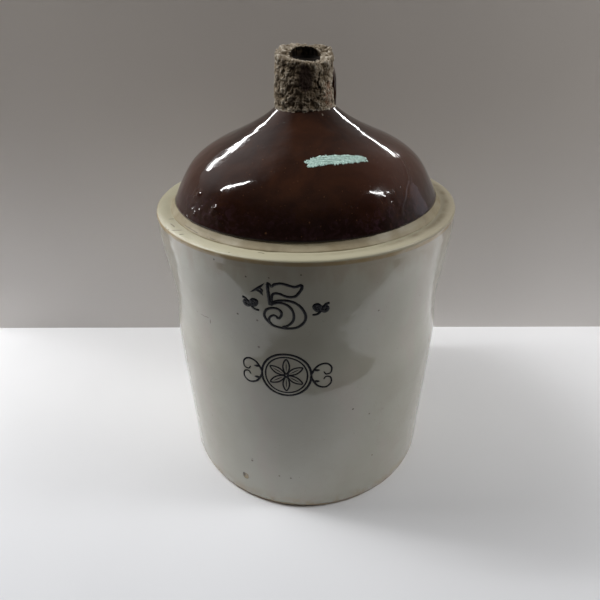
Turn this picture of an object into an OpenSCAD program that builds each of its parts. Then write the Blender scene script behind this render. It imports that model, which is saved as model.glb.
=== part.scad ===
// Shoulder jug in stoneware: a straight-sided crock with a floor, a domed top luted to its
// ledge, a short neck and a strap handle, with its glaze coats, marks and surface deposits.
// Millimetres, +Z up, the foot on Z = 0, the front marks facing -Y and the handle at +Y.

/* [Crock body] */
// Outside radius of the clay at the rim
rim_r = 150.7; // [125:0.5:170]
// How far the foot lies inside the rim
foot_in = 5.5; // [0:0.5:15]
// How far the belly lies inside the rim
belly_in = 3; // [0:0.5:12]
// How far the waist under the rim lies inside the rim
waist_in = 6; // [2:0.5:12]
// Height of the clay ledge above the table
body_h = 313; // [240:1:380]
// Thickness of the side wall
wall_t = 11; // [8:0.5:16]
// Thickness of the floor
floor_t = 13; // [8:0.5:20]
// Radius inside between floor and wall
floor_fillet = 14; // [6:1:20]
// Bevel round the foot
foot_bevel = 3; // [1:0.5:6]
// Rounding of the rim's outer edge
lip_r = 3; // [1.5:0.5:5]
// Thickness of the shelf that carries the dome
shelf_t = 13; // [9:0.5:18]

/* [Domed top] */
// Width of the ledge, from the rim to the dome's clay
ledge_w = 19.5; // [14:0.5:28]
// Height of the dome above the ledge
dome_h = 87; // [60:0.2:120]
// Height of the bare foot of the dome below the brown coat
bare_foot_h = 6; // [3:0.5:10]
// Thickness of the dome's wall
dome_t = 12; // [8:0.5:15]
// Width of the luting coil on the ledge
coil_w = 5.6; // [3:0.2:9]
// Height of the luting coil
coil_h = 6; // [3:0.5:9]

/* [Neck] */
// Outside radius of the neck
neck_r = 22; // [20:0.5:28]
// Height of the neck above the dome
neck_h = 41; // [30:0.2:60]
// Radius of the fillet at the neck's root
neck_fillet = 5.5; // [3:0.5:8]
// Radius of the glazed mouth bore
mouth_r = 13; // [10:0.5:15]
// Rounding of the neck's upper edge
neck_edge = 2; // [1:0.5:3]

/* [Strap handle] */
// Width of the strap
strap_w = 38; // [24:1:42]
// Thickness of the strap
strap_t = 11; // [8:0.5:13]
// Rounding of the strap's edges
strap_edge = 3.5; // [2:0.5:4]
// Reach from the jug's axis to the middle of the strap
strap_reach = 64; // [58:1:72]
// Drop from the neck's top to the middle of the upper leg
strap_drop = 12.5; // [10:0.5:15]
// Bend radius on the middle of the strap
strap_bend = 21; // [15:1:24]
// Turn of the handle from straight behind the marks, towards +X
strap_turn = 3.5; // [0:0.5:8]

/* [Coats and marks] */
// Thickness of the outer glaze coats
glaze_t = 0.8; // [0.5:0.1:1.2]
// Thickness of the lining glaze
lining_t = 0.5; // [0.3:0.1:1]
// Height of the bare clay at the foot
bare_base_h = 4; // [3.5:0.5:8]
// Thickness of the stamped ink
ink_t = 0.2; // [0.1:0.05:0.4]
// Width of the stamp's lines
line_w = 1.9; // [1:0.1:2.5]
// Height of the numeral
numeral_h = 48; // [30:1:56]
// Drop from the ledge to the middle of the numeral
numeral_drop = 46; // [38:1:60]
// Distance from the numeral's middle to each floret
floret_side = 31; // [26:1:36]
// Radius of one floret lobe
lobe_r = 3.1; // [2:0.1:4]
// Drop from the ledge to the middle of the rosette
rosette_drop = 121; // [105:1:150]
// Outer radius of the rosette's ring
rosette_r = 24; // [16:1:28]
// Reach of the rosette's scrolls from its middle
scroll_reach = 43; // [36:1:50]

/* [Deposits] */
// Outer radius of the mineral crust round the neck
crust_r = 27; // [26:0.5:30]
// Shift of the crust towards +X, where it is thickest
crust_shift = 0.5; // [0:0.5:3]
// Rise of the crust above the glazed mouth at the front
crust_front_h = 1.2; // [0.8:0.1:3]
// Rise of the crust above the glazed mouth at the back
crust_back_h = 10; // [6:0.5:14]
// Clearance between the crust's inner edge and the mouth bore
crust_gap = 1; // [0.5:0.5:2]
// Thickness of the paint streak
streak_t = 0.4; // [0.2:0.1:0.8]
// Length of the paint streak
streak_len = 53; // [40:1:60]
// Breadth that the slanting paint streak covers
streak_w = 28; // [20:1:30]

/* [Hidden] */
$fn = 96;
// One overrun for every cut
over = 1;
// Steps in each eased stretch of the wall, in each span of a smoothed line and in an arc
wall_steps = 7;
span_steps = 3;
arc_steps = 6;
// Heights of the belly, waist and flare as shares of the body's height
belly_share = 0.55;
waist_share = 0.68;
flare_share = 0.96;
// Outline of the dome from foot to crown: radius share and height share
dome_shares = [[1, 0], [0.94, 0.15], [0.86, 0.32], [0.78, 0.435], [0.68, 0.53],
               [0.55, 0.62], [0.40, 0.705], [0.25, 0.795], [0.11, 0.895], [0, 1]];
// Numeral strokes in shares of its height: the flag's two lines, the bowl's two, coil and stem
flag_top_shares = [[-0.24, 0.49], [-0.15, 0.45], [-0.03, 0.49], [0.13, 0.47], [0.27, 0.44],
                   [0.37, 0.48]];
flag_foot_shares = [[0.36, 0.5], [0.3, 0.33], [0.14, 0.25], [-0.08, 0.32], [-0.18, 0.24], [-0.21, 0.07]];
bowl_shares = [[-0.23, 0.1], [-0.02, 0.18], [0.19, 0.155], [0.33, 0.04], [0.385, -0.16],
               [0.33, -0.34], [0.19, -0.465], [0, -0.5], [-0.22, -0.465], [-0.35, -0.34],
               [-0.385, -0.2], [-0.33, -0.07], [-0.21, -0.01], [-0.09, -0.04], [-0.05, -0.12],
               [-0.13, -0.25]];
inner_shares = [[-0.23, 0.06], [-0.07, 0.13], [0.07, 0.1], [0.155, -0.02], [0.18, -0.165],
                [0.14, -0.3], [0.05, -0.42], [-0.06, -0.495]];
coil_shares = [[-0.35, -0.36], [-0.31, -0.25], [-0.25, -0.18], [-0.17, -0.185], [-0.12, -0.25]];
stem_shares = [[-0.235, 0.5], [-0.235, 0.3], [-0.235, 0.06]];
// Scroll beside the rosette: reach share and height share of the reach
scroll_shares = [[0.52, 0.02], [0.66, 0.24], [0.84, 0.3], [0.96, 0.2], [0.95, 0.06], [0.85, 0.03]];
// Floret stem in lobes: sideways and up
stem_lobes = [[0, -0.6], [0.5, -1.9], [1.6, -2.8], [2.9, -2.7]];
// Paint streak seen from above in shares of its length and breadth, from its left end
streak_shares = [[0, 0], [0.04, -0.18], [0.13, -0.14], [0.26, -0.04], [0.42, 0.11], [0.6, 0.23],
                 [0.75, 0.48], [1, 0.71], [0.89, 0.82], [0.79, 0.82], [0.57, 0.61], [0.4, 0.46],
                 [0.21, 0.36], [0.09, 0.21]];
// Flaked patch at the crust's front, in shares of the crust's height, from its middle
patch_shares = [[-0.1, 0.3], [0.06, 0.34], [0.17, 0.16], [0.2, -0.08], [0.1, -0.28],
                [-0.02, -0.12], [-0.12, 0.04]];

base_r = rim_r - foot_in;
belly_r = rim_r - belly_in;
waist_r = rim_r - waist_in;
dome_r = rim_r - ledge_w;
belly_z = body_h * belly_share;
waist_z = body_h * waist_share;
flare_z = body_h * flare_share;
shelf_r = dome_r - dome_t;
bore_r = mouth_r + lining_t;
crown_z = body_h + dome_h;
neck_top = crown_z + neck_h;
mouth_top = neck_top + glaze_t;
root_r = neck_r + neck_fillet;
coat_z = body_h + bare_foot_h;
ledge_z = body_h + glaze_t;
shelf_z = body_h - shelf_t;
strap_z = neck_top - strap_drop;
bend_y = strap_reach - strap_bend;
bend_z = strap_z - strap_bend;
coil_r = dome_r + coil_w;
numeral_z = ledge_z - numeral_drop;
rosette_z = ledge_z - rosette_drop;
streak_x = neck_r * 0.36;
streak_y = -dome_r * 0.625;
crust_top = mouth_top + crust_back_h;

function ease(t) = (1 - cos(180 * t)) / 2;
function between(z, z0, z1) = ease((z - z0) / (z1 - z0));
// Outside radius of the clay wall at height z
function wall_r(z) =
    z < belly_z ? base_r + (belly_r - base_r) * between(z, 0, belly_z) :
    z < waist_z ? belly_r + (waist_r - belly_r) * between(z, belly_z, waist_z) :
    z < flare_z ? waist_r + (rim_r - waist_r) * between(z, waist_z, flare_z) : rim_r;
function steps(a, b, n) = [for (i = [0:n]) a + (b - a) * i / n];
function heights(z0, z1) = concat(
    [for (z = steps(z0, belly_z, wall_steps)) z],
    [for (i = [1:wall_steps]) belly_z + (waist_z - belly_z) * i / wall_steps],
    [for (i = [1:wall_steps]) waist_z + (min(flare_z, z1) - waist_z) * i / wall_steps],
    z1 > flare_z ? [z1] : []);
// Wall line from z0 up to z1, moved out by d
function wall_line(z0, z1, d) = [for (z = heights(z0, z1)) [wall_r(z) + d, z]];
function arc(c, r, a0, a1) =
    [for (a = steps(a0, a1, arc_steps)) [c[0] + r * cos(a), c[1] + r * sin(a)]];
function backward(p) = [for (i = [len(p) - 1:-1:0]) p[i]];
// Catmull-Rom line through hand-set points
function blend(a, b, c, d, t) =
    (2 * b + (c - a) * t + (2 * a - 5 * b + 4 * c - d) * t * t
     + (3 * b - a - 3 * c + d) * t * t * t) / 2;
function smooth(p) = concat(
    [for (i = [0:len(p) - 2], k = [0:span_steps - 1])
        blend(p[max(i - 1, 0)], p[i], p[i + 1], p[min(i + 2, len(p) - 1)], k / span_steps)],
    [p[len(p) - 1]]);
function heading(p, i) =
    let(v = p[min(i + 1, len(p) - 1)] - p[max(i - 1, 0)]) v / norm(v);
// The line p moved to its right by d
function beside(p, d) = [for (i = [0:len(p) - 1]) let(h = heading(p, i)) p[i] + d * [h[1], -h[0]]];
// Dome line between two radii and two heights
function dome_line(r0, r1, z0, z1) =
    smooth([for (s = dome_shares) [r1 + (r0 - r1) * s[0], z0 + (z1 - z0) * s[1]]]);

// Everything inside the jug, from the floor to the mouth, drawn in by d
module cavity(d) {
    floor_z = floor_t + d;
    corner_r = wall_r(floor_t + floor_fillet) - wall_t - floor_fillet;
    dome_top_z = crown_z - dome_t;
    rotate_extrude()
        polygon(concat(
            [[0, floor_z]],
            arc([corner_r, floor_t + floor_fillet], floor_fillet - d, -90, 0),
            [for (p = wall_line(floor_t + floor_fillet + over, shelf_z - shelf_t / 2, -wall_t - d)) p],
            [[shelf_r - d, shelf_z - d], [shelf_r - d, body_h]],
            beside(dome_line(shelf_r, bore_r, body_h + over, dome_top_z), -d),
            [[bore_r - d, dome_top_z + d], [bore_r - d, crust_top + over], [0, crust_top + over]]));
}

// Clay outlines, solid to the axis
module body_clay() {
    rotate_extrude()
        polygon(concat(
            [[0, 0], [base_r - foot_bevel, 0]],
            wall_line(foot_bevel, body_h - lip_r, 0),
            arc([rim_r - lip_r, body_h - lip_r], lip_r, 0, 90),
            [[0, body_h]]));
}
module dome_clay() {
    rotate_extrude()
        polygon(concat(
            [[0, body_h], [dome_r, body_h]],
            dome_line(dome_r, root_r, coat_z, crown_z),
            [[0, crown_z]]));
}
module neck_clay() {
    rotate_extrude()
        polygon(concat(
            [[0, crown_z], [root_r, crown_z]],
            backward(arc([root_r, crown_z + neck_fillet], neck_fillet, -180, -90)),
            arc([neck_r - neck_edge, neck_top - neck_edge], neck_edge, 0, 90),
            [[0, neck_top]]));
}

// Section of the strap, thickness along X and width along Y, grown by g
module strap_section(g) {
    half_t = strap_t / 2 + g;
    half_w = strap_w / 2 + g;
    r = strap_edge + g;
    square([2 * half_t, 2 * (half_w - r)], center = true);
    square([2 * (half_t - r), 2 * half_w], center = true);
    for (x = [-1, 1], y = [-1, 1])
        translate([x * (half_t - r), y * (half_w - r)])
            circle(r);
}
module strap(g) {
    rotate([0, 0, -strap_turn]) {
        translate([0, bend_y, bend_z])
            rotate([90, 0, 90])
                rotate_extrude(angle = 90)
                    translate([strap_bend, 0])
                        strap_section(g);
        translate([0, strap_reach, body_h])
            rotate([0, 0, 90])
                linear_extrude(bend_z - body_h)
                    strap_section(g);
        translate([0, 0, strap_z])
            rotate([90, 90, 180])
                linear_extrude(bend_y)
                    strap_section(g);
    }
}

module crock_body() {
    color("antiquewhite")
        difference() {
            body_clay();
            cavity(0);
        }
}
module dome_top() {
    color("tan")
        difference() {
            dome_clay();
            cavity(0);
        }
}
module neck() {
    color("tan")
        difference() {
            neck_clay();
            cavity(0);
        }
}
module strap_handle() {
    color("saddlebrown")
        difference() {
            strap(0);
            dome_clay();
            neck_clay();
        }
}

// The smoothed coil of clay that seals the dome to the ledge
module luting_coil() {
    color("burlywood")
        rotate_extrude()
            polygon(concat(
                [[dome_r, body_h], [coil_r, body_h]],
                backward(arc([coil_r, body_h + coil_h], min(coil_h, coil_w), -180, -90))));
}

module body_glaze() {
    color("ivory")
        difference() {
            rotate_extrude()
                polygon(concat(
                    [[0, bare_base_h]],
                    wall_line(bare_base_h, body_h - lip_r, glaze_t),
                    arc([rim_r - lip_r, body_h - lip_r], lip_r + glaze_t, 0, 90),
                    [[coil_r, ledge_z], [coil_r, body_h], [0, body_h]]));
            body_clay();
        }
}

// Dome, neck and handle with the brown coat on, solid
module coated_top(d) {
    rotate_extrude()
        polygon(concat(
            [[0, coat_z], [dome_r, coat_z]],
            beside(dome_line(dome_r, root_r, coat_z, crown_z), d),
            [[0, crown_z + d]]));
    rotate_extrude()
        polygon(concat(
            [[0, crown_z], [root_r, crown_z]],
            backward(arc([root_r, crown_z + neck_fillet], neck_fillet - d, -180, -90)),
            arc([neck_r - neck_edge, neck_top - neck_edge], neck_edge + d, 0, 90),
            [[0, neck_top + d]]));
    difference() {
        strap(d);
        translate([0, 0, body_h - over])
            cylinder(h = coat_z - body_h + over, r = dome_r + strap_reach);
    }
}
module dome_glaze() {
    color("saddlebrown")
        difference() {
            coated_top(glaze_t);
            dome_clay();
            neck_clay();
            strap(0);
            cavity(0);
        }
}

module lining_glaze() {
    color("sienna")
        intersection() {
            difference() {
                cavity(0);
                cavity(lining_t);
            }
            cylinder(h = mouth_top, r = rim_r);
        }
}

module spout_crust() {
    slope = atan((crust_back_h - crust_front_h) / (2 * crust_r));
    middle_h = (crust_back_h + crust_front_h) / 2;
    patch_h = neck_h * 0.9;
    color("darkgray")
        difference() {
            translate([crust_shift, 0, crown_z - over])
                cylinder(h = crust_top - crown_z + over, r = crust_r);
            coated_top(glaze_t);
            cylinder(h = crust_top + over, r = mouth_r + crust_gap);
            translate([0, 0, mouth_top + middle_h])
                rotate([slope, 0, 0])
                    cylinder(h = 2 * crust_back_h, r = 2 * crust_r);
            translate([0, 0, crown_z + neck_h / 2])
                rotate([90, 0, 0])
                    linear_extrude(2 * crust_r)
                        polygon(patch_h * patch_shares);
        }
}

module paint_streak() {
    color("aquamarine")
        difference() {
            intersection() {
                coated_top(glaze_t + streak_t);
                translate([streak_x, streak_y, coat_z])
                    linear_extrude(dome_h)
                        polygon([for (s = streak_shares) [s[0] * streak_len, s[1] * streak_w]]);
            }
            coated_top(glaze_t);
        }
}

// Thin shell on the glazed wall that carries the stamps
module ink_shell() {
    difference() {
        rotate_extrude()
            polygon(concat([[0, foot_bevel]],
                           wall_line(foot_bevel, body_h - lip_r, glaze_t + ink_t),
                           [[0, body_h - lip_r]]));
        rotate_extrude()
            polygon(concat([[0, foot_bevel - over]],
                           wall_line(foot_bevel - over, body_h - lip_r + over, glaze_t),
                           [[0, body_h - lip_r + over]]));
    }
}
// Presses a flat drawing, centred on its own origin, onto the front of the wall
module stamp(x, z) {
    color("midnightblue")
        intersection() {
            ink_shell();
            translate([x, 0, z])
                rotate([90, 0, 0])
                    linear_extrude(2 * rim_r)
                        children();
        }
}
// A line of width w through smoothed points
module stroke(points, w) {
    line = smooth(points);
    polygon(concat(beside(line, w / 2), backward(beside(line, -w / 2))));
}
module ring(r, w) {
    difference() {
        circle(r);
        circle(r - w);
    }
}

module capacity_mark() {
    stamp(0, numeral_z) {
        stroke(numeral_h * flag_top_shares, line_w);
        stroke(numeral_h * flag_foot_shares, line_w);
        stroke(numeral_h * bowl_shares, line_w);
        stroke(numeral_h * inner_shares, line_w);
        stroke(numeral_h * coil_shares, line_w);
        stroke(numeral_h * stem_shares, line_w);
    }
}
module floret(side) {
    stamp(side * floret_side, numeral_z)
        mirror([side > 0 ? 1 : 0, 0]) {
            for (a = [90, 210, 330])
                translate([lobe_r * cos(a), lobe_r * sin(a)])
                    circle(lobe_r);
            stroke(lobe_r * stem_lobes, line_w);
        }
}
module left_floret() {
    floret(-1);
}
module right_floret() {
    floret(1);
}
module front_rosette() {
    petal_r = rosette_r * 0.72;
    inner_w = line_w * 0.7;
    stamp(0, rosette_z) {
        ring(rosette_r, line_w);
        ring(rosette_r - 2 * line_w, inner_w);
        for (i = [0:5])
            rotate(60 * i)
                intersection() {
                    translate([petal_r / 2, petal_r * sin(60)])
                        circle(petal_r);
                    translate([petal_r / 2, -petal_r * sin(60)])
                        circle(petal_r);
                }
        for (sx = [0, 1], sy = [0, 1])
            mirror([sx, 0])
                mirror([0, sy])
                    stroke(scroll_reach * scroll_shares, line_w);
    }
}

crock_body();
dome_top();
neck();
strap_handle();
luting_coil();
body_glaze();
dome_glaze();
lining_glaze();
spout_crust();
paint_streak();
capacity_mark();
left_floret();
right_floret();
front_rosette();
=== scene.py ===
import bpy
import math
import random
from functools import reduce
import numpy as np
from mathutils import Matrix, Vector, noise


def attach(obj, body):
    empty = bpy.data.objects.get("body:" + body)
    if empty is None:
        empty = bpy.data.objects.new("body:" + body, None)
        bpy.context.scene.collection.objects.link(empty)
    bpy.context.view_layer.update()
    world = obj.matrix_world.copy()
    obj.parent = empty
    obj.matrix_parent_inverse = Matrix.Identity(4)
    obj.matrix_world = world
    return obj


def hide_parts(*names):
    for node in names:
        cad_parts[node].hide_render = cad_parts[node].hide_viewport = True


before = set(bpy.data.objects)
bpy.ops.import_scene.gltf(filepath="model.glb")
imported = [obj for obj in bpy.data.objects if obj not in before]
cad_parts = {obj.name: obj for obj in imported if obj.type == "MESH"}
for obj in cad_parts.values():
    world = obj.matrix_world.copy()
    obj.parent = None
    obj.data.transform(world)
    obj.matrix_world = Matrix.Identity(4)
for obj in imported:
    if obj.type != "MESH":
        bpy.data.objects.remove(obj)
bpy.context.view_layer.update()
scene = bpy.context.scene
scene.view_settings.view_transform = "Standard"
random.seed(31)
print("frame loaded:", len(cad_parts), "solids")

# Shapes are drawn in millimetres and scaled to metres when a mesh is made.
# Angles round the jug are in degrees from the front marks, positive towards +X.
mm = 0.001
frontTurn = 6.95   # how far the camera stands round from the front marks

# Camera
cameraLook = {
    "distance": 486.3,
    "height": 483.6,
    "pitch": 31.63,
    "turn": -0.83,
    "roll": -0.61,
    "lens": 28.97,
}


def placeCamera(look):
    pitch, turn, roll = (math.radians(look[k]) for k in ("pitch", "turn", "roll"))
    level = math.cos(pitch)
    ahead = Vector((math.sin(turn) * level, math.cos(turn) * level, -math.sin(pitch)))
    side = ahead.cross(Vector((0, 0, 1))).normalized()
    up = side.cross(ahead)
    right = side * math.cos(roll) + up * math.sin(roll)
    top = up * math.cos(roll) - side * math.sin(roll)
    pose = Matrix((right, top, -ahead)).transposed().to_4x4()
    pose.translation = Vector((0, -look["distance"] * mm, look["height"] * mm))
    data = bpy.data.cameras.new("camera")
    data.lens = look["lens"]
    data.sensor_width = 36
    camera = bpy.data.objects.new("camera", data)
    scene.collection.objects.link(camera)
    camera.matrix_world = Matrix.Rotation(math.radians(frontTurn), 4, "Z") @ pose
    scene.camera = camera


placeCamera(cameraLook)


# Lines, sections and meshes
def ease(t):
    return (1 - np.cos(np.pi * np.clip(t, 0, 1))) / 2


def ramp(x, start, stop):
    # 0 up to the start, 1 from the stop on and straight between them
    return np.clip((x - start) / (stop - start), 0, 1)


def hill(x, width):
    # a soft rise to 1 about 0
    return np.exp(-(x / width) ** 2)


def halfTurn(degrees):
    # the same angle, between -180 and 180
    return (degrees + 180) % 360 - 180


def fullCircle(segments):
    return np.arange(segments) * 2 * np.pi / segments


def curvy(points, perSpan=4):
    # a smooth line through given points
    p = np.array(points, float)
    out = []
    for i in range(len(p) - 1):
        a, b, c, d = p[max(i - 1, 0)], p[i], p[i + 1], p[min(i + 2, len(p) - 1)]
        for k in range(perSpan):
            t = k / perSpan
            bend = (2 * a - 5 * b + 4 * c - d) * t ** 2 + (3 * b - a - 3 * c + d) * t ** 3
            out.append((2 * b + (c - a) * t + bend) / 2)
    out.append(p[-1])
    return np.array(out)


def evenly(line, step):
    # the same line with its points about one step apart
    along = np.r_[0, np.cumsum(np.linalg.norm(np.diff(line, axis=0), axis=1))]
    count = max(2, int(round(along[-1] / step)) + 1)
    places = np.linspace(0, along[-1], count)
    return np.stack([np.interp(places, along, line[:, k]) for k in range(line.shape[1])], axis=1)


def arc(centre, radius, start, stop, count=9):
    a = np.radians(np.linspace(start, stop, count))
    return np.stack([centre[0] + radius * np.cos(a), centre[1] + radius * np.sin(a)], axis=1)


def outward(line):
    # normals to the right of a line, the outer side of a section that runs upwards
    t = np.gradient(line, axis=0)
    t /= np.maximum(np.linalg.norm(t, axis=1), 1e-9)[:, None]
    return np.stack([t[:, 1], -t[:, 0]], axis=1)


def cloud(points, size, octaves=3, seed=0.0):
    # soft noise about 0 at each point, with lumps of the given size
    flat = np.asarray(points, float).reshape(-1, 3) / size + seed
    values = [noise.fractal(Vector(p), 1.0, 2.0, octaves) for p in flat]
    return np.array(values).reshape(np.shape(points)[:-1])


def evenCloud(points, size, octaves=3, seed=0.0):
    # the same noise, scaled so that most of it lies between -1 and 1
    values = cloud(points, size, octaves, seed)
    return values / values.std()


def wiggle(places, rate, seed):
    return np.array([noise.noise(Vector((q * rate, seed, 4.0))) for q in places])


def wander(places, waves):
    # several wiggles together: height, rate and seed of each
    return sum(high * wiggle(places, rate, seed) for high, rate, seed in waves)


def turnedPoints(r, a, z):
    # points at a radius, a turn from the front and a height
    return np.stack([r * np.sin(a), -r * np.cos(a), z + 0 * a], axis=-1)


def pushed(points, a, nr, nz, far):
    # turned points moved along their normals, which have a part outwards and a part upwards
    return points + np.stack([nr * far * np.sin(a), -nr * far * np.cos(a), nz * far], axis=-1)


def spin(line, segments):
    # rings of points from a section line of radius and height
    return turnedPoints(line[:, :1], fullCircle(segments), line[:, 1:])


def alongNormal(skin, line, far):
    n = outward(line)
    return pushed(skin, fullCircle(skin.shape[1]), n[:, :1], n[:, 1:], far)


# the lean in degrees, the rest in millimetres
uneven = {
    "lean": 0.55, "leanFades": (442, 342), "oval": 0.28, "lobes": 0.16, "wideFrom": (40, 100),
    "aside": 0.9, "asideAt": 322, "asideOver": 42,
}


def settle(p):
    # the pot's own unevenness: the rim leans a little to one side and nothing is quite round
    p = np.array(p, float)
    x, y, z = p[..., 0], p[..., 1], p[..., 2]
    c, s = math.cos(math.radians(frontTurn)), math.sin(math.radians(frontTurn))
    r = np.hypot(x, y)
    around = np.arctan2(x, -y)
    # only the wide parts change, and neither the foot nor the top of the neck leans
    wide = ramp(r, *uneven["wideFrom"])
    upright = ramp(z, 0, jug["height"]) * ramp(z, *uneven["leanFades"])
    swell = uneven["oval"] * np.cos(2 * around - 0.9) + uneven["lobes"] * np.cos(3 * around + 0.4)
    swell = swell * wide / np.maximum(r, 1e-6)
    aside = uneven["aside"] * hill(z - uneven["asideAt"], uneven["asideOver"]) * wide
    lift = (x * c + y * s) * math.tan(math.radians(uneven["lean"])) * upright
    return p + np.stack([x * swell - aside * c, y * swell - aside * s, lift], axis=-1)


def makePiece(name, points, faces, material, replaced, shade=None):
    mesh = bpy.data.meshes.new(name)
    points = np.asarray(points, float).reshape(-1, 3) * mm
    faces = [list(map(int, f)) for f in faces]
    mesh.from_pydata(points.tolist(), [], faces)
    mesh.polygons.foreach_set("use_smooth", [True] * len(mesh.polygons))
    if shade is not None:
        layer = mesh.attributes.new("hollow", "FLOAT", "POINT")
        layer.data.foreach_set("value", np.asarray(shade, np.float32).ravel())
    mesh.materials.append(material)
    mesh.update()
    piece = bpy.data.objects.new(name, mesh)
    scene.collection.objects.link(piece)
    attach(piece, "root")
    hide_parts(replaced)


def ringFaces(rings, segments, closed=True):
    i = np.arange(rings if closed else rings - 1)[:, None]
    j = np.arange(segments)[None, :]
    k = (i + 1) % rings
    nextJ = (j + 1) % segments
    corners = (i * segments + j, i * segments + nextJ, k * segments + nextJ, k * segments + j)
    return np.stack(corners, axis=2).reshape(-1, 4)


def ringPiece(name, rings, material, replaced, closed=True, shade=None):
    # a piece whose points are whole rings
    faces = ringFaces(len(rings), rings.shape[1], closed)
    makePiece(name, rings, faces, material, replaced, shade)


# The jug's own lines
jug = {
    "rim": 150.7, "footIn": 5.8, "bellyIn": 3.4, "waistIn": 6.3,
    "height": 313.0, "wall": 11.0, "floor": 13.0, "cornerRadius": 14.0, "bevel": 3.0, "shelf": 13.0,
    "dome": 131.2, "domeHeight": 87.0, "bareFoot": 6.0, "domeWall": 12.0,
    "neck": 22.0, "neckFillet": 5.5, "mouth": 13.0, "glaze": 0.8,
}
crownHeight = jug["height"] + jug["domeHeight"]
coatHeight = jug["height"] + jug["bareFoot"]
neckRoot = jug["neck"] + jug["neckFillet"]


def wallRadius(z):
    # outside of the glazed wall at height z
    z = np.asarray(z, float)
    rim = jug["rim"]
    foot, belly, waist = rim - jug["footIn"], rim - jug["bellyIn"], rim - jug["waistIn"]
    low, mid, top = (share * jug["height"] for share in (0.55, 0.68, 0.96))
    lower = foot + (belly - foot) * ease(z / low)
    middle = belly + (waist - belly) * ease((z - low) / (mid - low))
    upper = waist + (rim - waist) * ease((z - mid) / (top - mid))
    return np.where(z < low, lower, np.where(z < mid, middle, upper)) + jug["glaze"]


domeShares = [(1, 0), (0.94, 0.15), (0.86, 0.32), (0.78, 0.435), (0.68, 0.53),
              (0.55, 0.62), (0.40, 0.705), (0.25, 0.795), (0.11, 0.895), (0, 1)]
domeLine = curvy([(neckRoot + (jug["dome"] - neckRoot) * r, coatHeight + (crownHeight - coatHeight) * h)
                  for r, h in domeShares], 8)
domeSkin = domeLine + outward(domeLine) * jug["glaze"]


def domeTopAt(r):
    # height of the glazed dome at radius r
    return np.interp(r, domeSkin[::-1, 0], domeSkin[::-1, 1])


def potWaves(points):
    # low waves left by the potter's hand and the glaze's flow, along the normal
    return 0.16 * cloud(points, 46, 2, 3.1) + 0.05 * cloud(points, 13, 2, 8.4)


def domeWaves(points):
    return 0.20 * cloud(points, 38, 2, 4.4) + 0.08 * cloud(points, 11, 3, 9.2)


def onWall(across, z, lift):
    # a point of the front wall: across is the way round from the marks' middle line
    z = np.asarray(z, float)
    r = wallRadius(z)
    a = np.asarray(across, float) / r
    p = turnedPoints(r, a, z)
    return settle(pushed(p, a, 1, 0, potWaves(p) + lift))


def onDome(x, y, lift):
    # a point of the dome's glaze above x and y
    x, y = np.asarray(x, float), np.asarray(y, float)
    r = np.hypot(x, y)
    p = np.stack([x, y, domeTopAt(r)], axis=-1)
    slope = domeTopAt(r + 0.5) - domeTopAt(r - 0.5)
    n = np.stack([-slope * x / r, -slope * y / r, np.ones_like(r)], axis=-1)
    n /= np.linalg.norm(n, axis=-1)[..., None]
    return settle(p + n * (domeWaves(p) + lift)[..., None])


# Shader helpers
def node(tree, kind, **values):
    made = tree.nodes.new(kind)
    for key, value in values.items():
        setattr(made, key, value)
    return made


def feed(tree, target, value):
    # a value, colour or another node's socket into an input
    if isinstance(value, bpy.types.NodeSocket):
        tree.links.new(value, target)
    elif value is not None:
        target.default_value = value


def maths(tree, operation, a, b=None, clamp=False):
    made = node(tree, "ShaderNodeMath", operation=operation, use_clamp=clamp)
    feed(tree, made.inputs[0], a)
    feed(tree, made.inputs[1], b)
    return made.outputs[0]


def times(tree, *values):
    return reduce(lambda a, b: maths(tree, "MULTIPLY", a, b), values)


def plus(tree, *values):
    return reduce(lambda a, b: maths(tree, "ADD", a, b), values)


def vectorMaths(tree, operation, a, b=None, output="Vector"):
    made = node(tree, "ShaderNodeVectorMath", operation=operation)
    feed(tree, made.inputs[0], a)
    feed(tree, made.inputs["Scale" if operation == "SCALE" else 1], b)
    return made.outputs[output]


def span(tree, value, low, high, toLow=0.0, toHigh=1.0):
    made = node(tree, "ShaderNodeMapRange", interpolation_type="SMOOTHSTEP")
    names = ("Value", "From Min", "From Max", "To Min", "To Max")
    for name, v in zip(names, (value, low, high, toLow, toHigh)):
        feed(tree, made.inputs[name], v)
    return made.outputs[0]


def between(tree, value, comes, goes):
    # 1 between the two spans in which it comes and goes
    return times(tree, span(tree, value, *comes), span(tree, value, *goes, 1.0, 0.0))


def blendColour(tree, factor, a, b, kind="MIX"):
    made = node(tree, "ShaderNodeMix", data_type="RGBA", blend_type=kind, clamp_factor=True)
    feed(tree, made.inputs[0], factor)
    for socket, v in ((made.inputs[6], a), (made.inputs[7], b)):
        feed(tree, socket, (*v, 1) if isinstance(v, tuple) and len(v) == 3 else v)
    return made.outputs[2]


def tint(tree, colour, tone, *masks):
    # lays a tone over the colour, as much as all the masks allow
    return blendColour(tree, times(tree, *masks), colour, tone)


def scaleOf(tree, size):
    # a pattern's scale from the size of its patches, which is a number or a socket
    return maths(tree, "DIVIDE", 1.0, size) if isinstance(size, bpy.types.NodeSocket) else 1 / size


def noiseMask(tree, place, size, detail=3.0, rough=0.55, twist=0.0, output="Fac"):
    made = node(tree, "ShaderNodeTexNoise")
    values = {"Vector": place, "Scale": scaleOf(tree, size), "Detail": detail, "Roughness": rough}
    for key, value in {**values, "Distortion": twist}.items():
        feed(tree, made.inputs[key], value)
    return made.outputs[output]


def mottle(tree, place, size, low, high, toLow=0.0, toHigh=1.0, detail=3.0, rough=0.55, twist=0.0):
    # soft patches, between two levels of the noise
    return span(tree, noiseMask(tree, place, size, detail, rough, twist), low, high, toLow, toHigh)


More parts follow.
